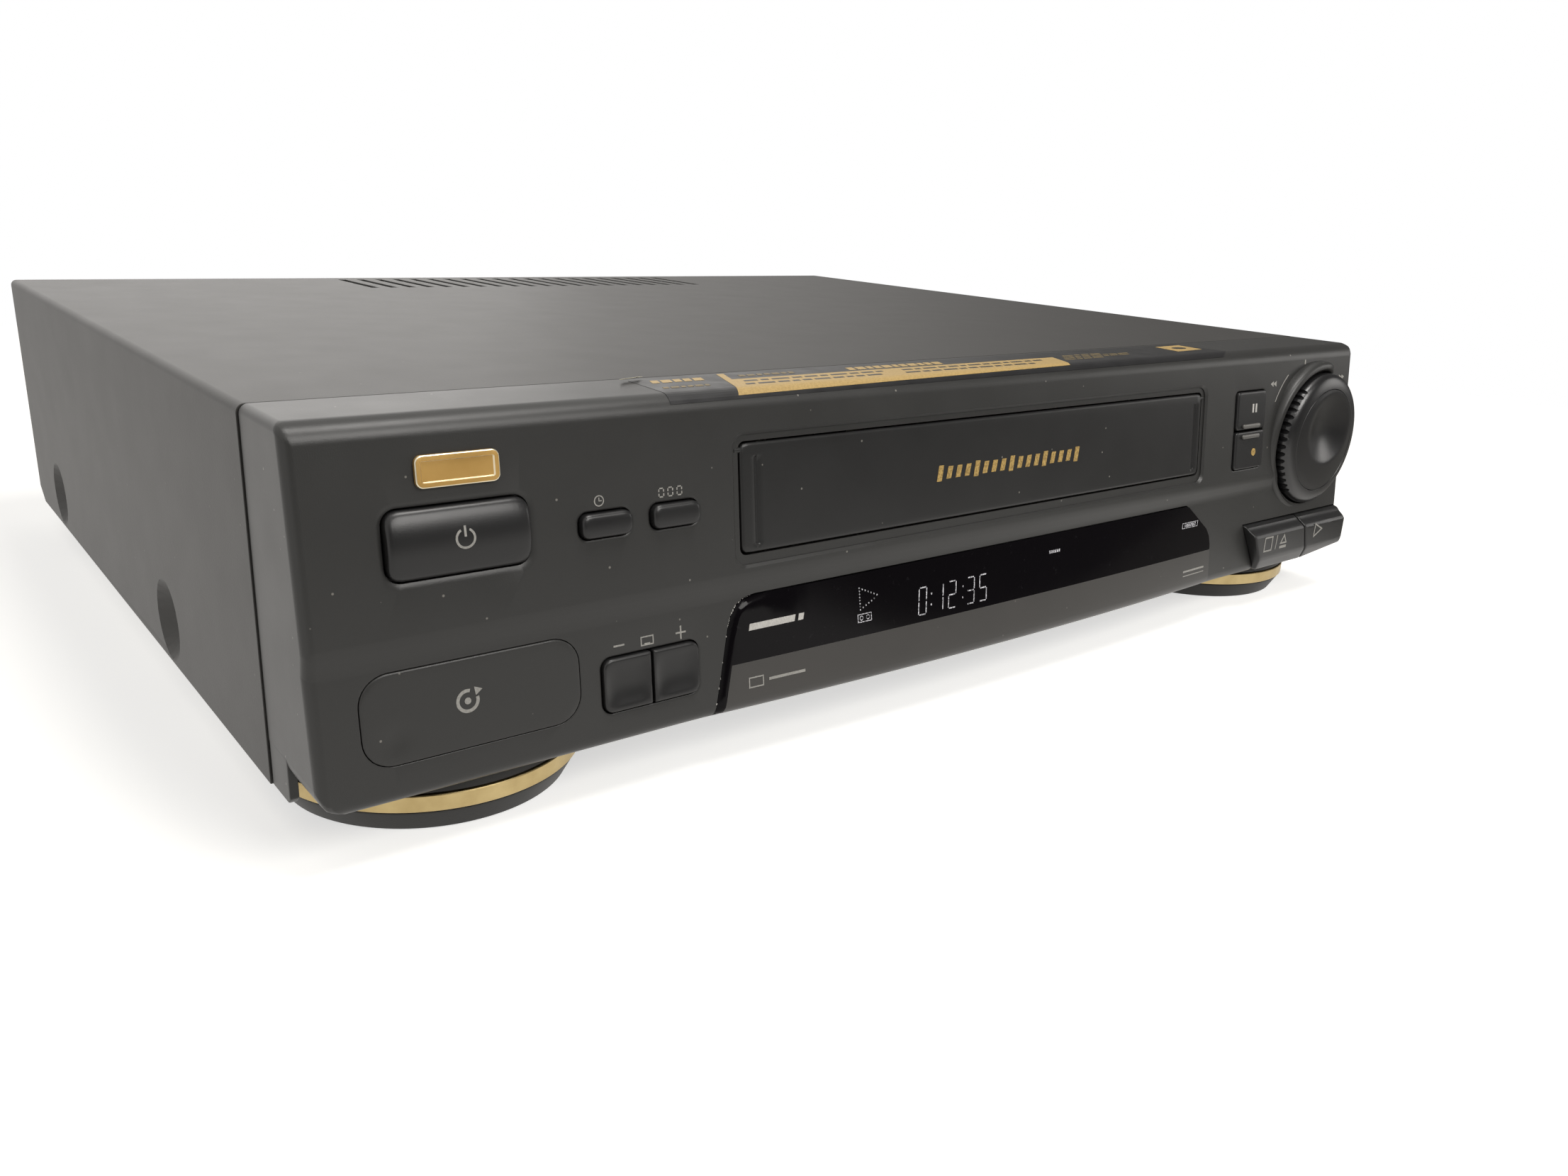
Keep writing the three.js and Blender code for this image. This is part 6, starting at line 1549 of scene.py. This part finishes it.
# Blue-black shrink sleeve of the large capacitor.
shrink_sleeve = grained("shrink_sleeve", "#1b2230", "#222a3a", 0.6, 0.01, (0.28, 0.36))
made = {node: softened(node, width, "chassis", finish) for node, finish, width in fixed_copies}
for corner in ("left_front", "left_rear", "right_front", "right_rear"):
    softened("cover_screw_" + corner, 0.2, "chassis", black_zinc, slot="zinc_steel")
print("fixed pieces", len(fixed_copies) + 4)

# %% Parts on the boards
def refinish(piece, material, wanted):
    """Gives the faces whose middle fits wanted another finish, and counts them."""
    piece.data.materials.append(material)
    chosen = [face for face in piece.data.polygons if wanted(*(c / MM for c in face.center))]
    for face in chosen:
        face.material_index = len(piece.data.materials) - 1
    return len(chosen)


def lowest(node):
    return min(corner[2] for corner in made[node].bound_box) / MM


board_top = lowest("main_board") + 1.7
boards = [
    ("main_board", screen_can, lambda x, y, z: z > board_top and y > -60),
    ("main_board", socket_plastic, lambda x, y, z: z > board_top and y < -60),
    ("power_board", shrink_sleeve, lambda x, y, z: z > board_top),
    ("power_board", machined_metal, lambda x, y, z: z > board_top + 33),
]
for node, material, wanted in boards:
    print(node, refinish(made[node], material, wanted), "faces refinished")

# %% [markdown]
# The rear is where the wires go in, so its small parts are made too: twenty contacts in each
# picture socket, two steel pins in the mains inlet, a nylon ring in each aerial barrel, and the
# cross-headed screws that hold the panel. A contact is a slot with a strip of metal standing in
# it. The slots, the mouths of the barrels and the crosses are cut with plain blocks and rods.

# %% Contacts, pins and aerial sockets
REAR_TURN = (math.radians(-90), 0, 0)
PANEL_BACK, SOCKET_FACE, BARREL_FACE = 156.2, 158.2, 169
SOCKET_X, SOCKET_ROWS = 34, {"av_socket_lower": 30, "av_socket_upper": 52}
for node, socket_z in SOCKET_ROWS.items():
    slots, strips = [], []
    for i in range(20):
        place = (SOCKET_X - 17.2 + 1.81 * i, SOCKET_FACE, socket_z + (1.75 if i % 2 else -1.75))
        slots.append(settle(
            rounded_slab("slot", 1.0, 2.4, 0.2, -4.5, 1, steps=1), place, REAR_TURN,
        ))
        strips.append(settle(
            rounded_slab("strip", 0.5, 1.8, 0.15, -4.4, -0.5, steps=1), place, REAR_TURN,
        ))
    cut_by(made[node], joined(*slots))
    contacts = joined(*strips)
    contacts.name = node + "_contacts"
    dressed(contacts, "chassis", "machined_metal", machined_metal)


def rear_part(name, section, place, finish, sides=48, closed=True):
    piece = smooth(settle(spun(name, section, sides, closed), place, REAR_TURN))
    dressed(piece, "chassis", slot_of(finish), finish)


for side, hand in ((-1, "left"), (1, "right")):
    rear_part(
        "inlet_pin_" + hand, [(0, -4), (1.34, -4), (1.34, 4.4), (1.1, 5), (0, 5.2)],
        (-160 + side * 4.3, 149, 34), machined_metal, 24, False,
    )
barrel_z = lowest("rf_unit") + 17
for side, hand in ((-1, "left"), (1, "right")):
    x = 152 + side * 12
    mouth = spun("mouth", [(0, -1.6), (3.9, -1.6), (3.9, 2), (0, 2)], sides=48)
    cut_by(made["rf_unit"], settle(mouth, (x, BARREL_FACE, barrel_z), REAR_TURN))
    rear_part("aerial_ring_" + hand, [
        (1.6, -3), (3.86, -3), (3.86, -0.7), (3.7, -0.5), (1.9, -0.5), (1.6, -0.8),
    ], (x, BARREL_FACE, barrel_z), white_nylon)
    rear_part("aerial_nut_" + hand, [
        (4.8, 0.1), (7.2, 0.1), (7.2, 1.3), (6.9, 1.6), (4.8, 1.6),
    ], (x, PANEL_BACK, barrel_z), screen_can, 6)

# %% Screws of the rear panel and the pan
def cross_head(heights, cross, place, turn):
    """A domed screw head whose cross is cut down to a height of cross."""
    head = spun("head", list(zip((0, 2.9, 2.9, 2.4, 1.2, 0), heights)), 32)
    for width, height in ((3.2, 0.6), (0.6, 3.2)):
        cut_by(head, rounded_slab("bar", width, height, 0.1, cross, 3, steps=1))
    return settle(head, place, turn)


heads = [
    cross_head((0.1, 0.1, 0.6, 1.3, 1.6, 1.65), 0.6, (x, PANEL_BACK, z), REAR_TURN) for x, z in (
        (-188, 84), (-188, 18), (188, 84), (188, 16), (0, 84), (-92, 84), (96, 84), (4, 41),
        (64, 41), (-141, 34), (-179, 34), (130, 46), (174, 46),
    )
]
pan_bottom = lowest("base_pan")
for x, y in (
    (-150, -60), (-150, 70), (-40, 130), (-40, -96), (60, 130), (60, -96), (165, -40), (165, 60),
):
    heads.append(cross_head(
        (-0.1, -0.1, 0.5, 1.1, 1.4, 1.45), 0.5, (x, y, pan_bottom), (math.radians(180), 0, 0),
    ))
screws = joined(*heads)
screws.name = "panel_screws"
dressed(smooth(screws), "chassis", "screen_can", screen_can)
print("rear details done")

# %% Moving pieces of the tape mechanism
moving_copies = (
    (machined_metal, ("upper_drum", "capstan", "supply_loading_arm", "take_up_loading_arm")),
    (zinc_steel, ("carriage_slide", "cassette_basket", "idler_arm", "pinch_arm", "tension_arm")),
    (black_rubber, ("idler_wheel", "pinch_roller")),
    (white_nylon, ("reel_clutch", "supply_reel", "take_up_reel", "cam_gear")),
)
for finish, nodes in moving_copies:
    for node in nodes:
        softened(node, 0.12, node, finish)
softened("drive_belt", 0.2, "chassis", black_rubber)
print("moving pieces", sum(len(nodes) for finish, nodes in moving_copies) + 1)

# %% [markdown]
# ## Floor and light
#
# The recorder stands on a grey floor that ends beyond the picture. It was photographed in a room
# with pale walls behind it and to its left, and with the dark side of the room in front. So the
# world is brightest towards the left rear, and the front, which looks into the room, stays dark
# while the side and the top pick up a sheen. The camera sees floor and air lifted to a plain pale
# ground, and glossy faces see a pale patch of floor to the left. Four soft round lamps, behind,
# overhead, in front and at the right, draw the lines along the edges.

# %% Rays that see the backdrop
# Lamps and walls are a trace warmer than white, as in the photograph.
WARM = (1.0, 0.975, 0.945)


def backdrop_rays(tree):
    """One where the camera looks, and one for the camera, glossy and transmission rays."""
    path = add_node(tree, "ShaderNodeLightPath")
    camera_ray = path.outputs["Is Camera Ray"]
    seen = maths(tree, "MAXIMUM", camera_ray, path.outputs["Is Glossy Ray"])
    return camera_ray, maths(tree, "MAXIMUM", seen, path.outputs["Is Transmission Ray"])


def level(tree, share, first, second):
    inputs = {0: share, 2: first, 3: second}
    return add_node(tree, "ShaderNodeMix", inputs, data_type="FLOAT").outputs[0]


# %% Floor
nothing_selected()
bpy.ops.mesh.primitive_circle_add(vertices=96, radius=0.85, fill_type="NGON", location=(0, 0, 0))
floor = bpy.context.object
floor.name = "studio_floor"
# Grey board that the camera sees lifted to a plain pale ground.
white_floor = bpy.data.materials.new("white_floor")
white_floor.use_nodes = True
tree = white_floor.node_tree
tree.nodes.clear()
camera_ray, seen = backdrop_rays(tree)
object_place = add_node(tree, "ShaderNodeTexCoord").outputs["Object"]
spot = add_node(tree, "ShaderNodeSeparateXYZ", {0: object_place})
beside = between(tree, spot.outputs["X"], 0.22, 0.29, 0.9, 0)
nearby = between(tree, spot.outputs["Y"], -0.8, -0.45, 0, 1)
lift_level = level(tree, camera_ray, maths(tree, "MULTIPLY", beside, nearby), 0.6)
floor_tone = blend(tree, camera_ray, colour("#7d7c79"), colour("#c9c8c4"))
plain = add_node(tree, "ShaderNodeBsdfDiffuse", {"Color": floor_tone})
lift_tone = blend(tree, camera_ray, (*WARM, 1), colour("#ffffff"))
lift = add_node(tree, "ShaderNodeEmission", {"Color": lift_tone, "Strength": lift_level})
lifted = add_node(tree, "ShaderNodeAddShader", {0: plain.outputs[0], 1: lift.outputs[0]})
mixed = add_node(
    tree, "ShaderNodeMixShader", {0: seen, 1: plain.outputs[0], 2: lifted.outputs[0]},
)
add_node(tree, "ShaderNodeOutputMaterial", {"Surface": mixed.outputs[0]})
floor.data.materials.append(white_floor)
floor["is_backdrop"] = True

# %% World and lamps
bpy.context.scene.view_settings.view_transform = "Standard"
world = bpy.data.worlds.new("studio")
bpy.context.scene.world = world
world.use_nodes = True
tree = world.node_tree
tree.nodes.clear()
camera_ray, seen = backdrop_rays(tree)
direction = add_node(tree, "ShaderNodeTexCoord").outputs["Generated"]
towards_pale_walls = add_node(
    tree, "ShaderNodeVectorMath", {0: direction, 1: (-0.72, 0.58, 0.5)},
    operation="DOT_PRODUCT",
).outputs["Value"]
walls = between(tree, towards_pale_walls, -0.1, 0.2, 0.1, 1.0)
for_light = maths(tree, "MULTIPLY", walls, 0.66)
room = level(tree, seen, for_light, walls)
strength = level(tree, camera_ray, room, 1.0)
tint = blend(tree, camera_ray, (*WARM, 1), colour("#ffffff"))
air = add_node(tree, "ShaderNodeBackground", {"Color": tint, "Strength": strength})
add_node(tree, "ShaderNodeOutputWorld", {"Surface": air.outputs[0]})


def soft_lamp(name, place, target, size, energy):
    bpy.ops.object.light_add(type="AREA", location=metres(*place))
    lamp = bpy.context.object
    lamp.name = name
    lamp.data.shape = "DISK"
    lamp.data.size = size * MM
    lamp.data.energy = energy
    lamp.data.color = WARM
    aim = metres(*target) - metres(*place)
    lamp.rotation_euler = aim.to_track_quat("-Z", "Y").to_euler()


soft_lamp("window_behind", (60, 1150, 380), (0, 0, 60), 1000, 2.2)
soft_lamp("ceiling_light", (120, -346, 1043), (-150, -120, 60), 360, 5)
soft_lamp("front_light", (150, -1000, 730), (-60, -150, 60), 520, 7)
soft_lamp("right_window", (1100, -650, 320), (150, -150, 50), 480, 1.4)
print("stage ready")

# %% Sizes and finish
seen_low, seen_high = (tuple(corner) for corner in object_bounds())
for low, high, cad_l, cad_h in zip(seen_low, seen_high, cad_low, cad_high):
    print("beyond the solids by mm", round((cad_l - low) / MM, 3), round((high - cad_h) / MM, 3))
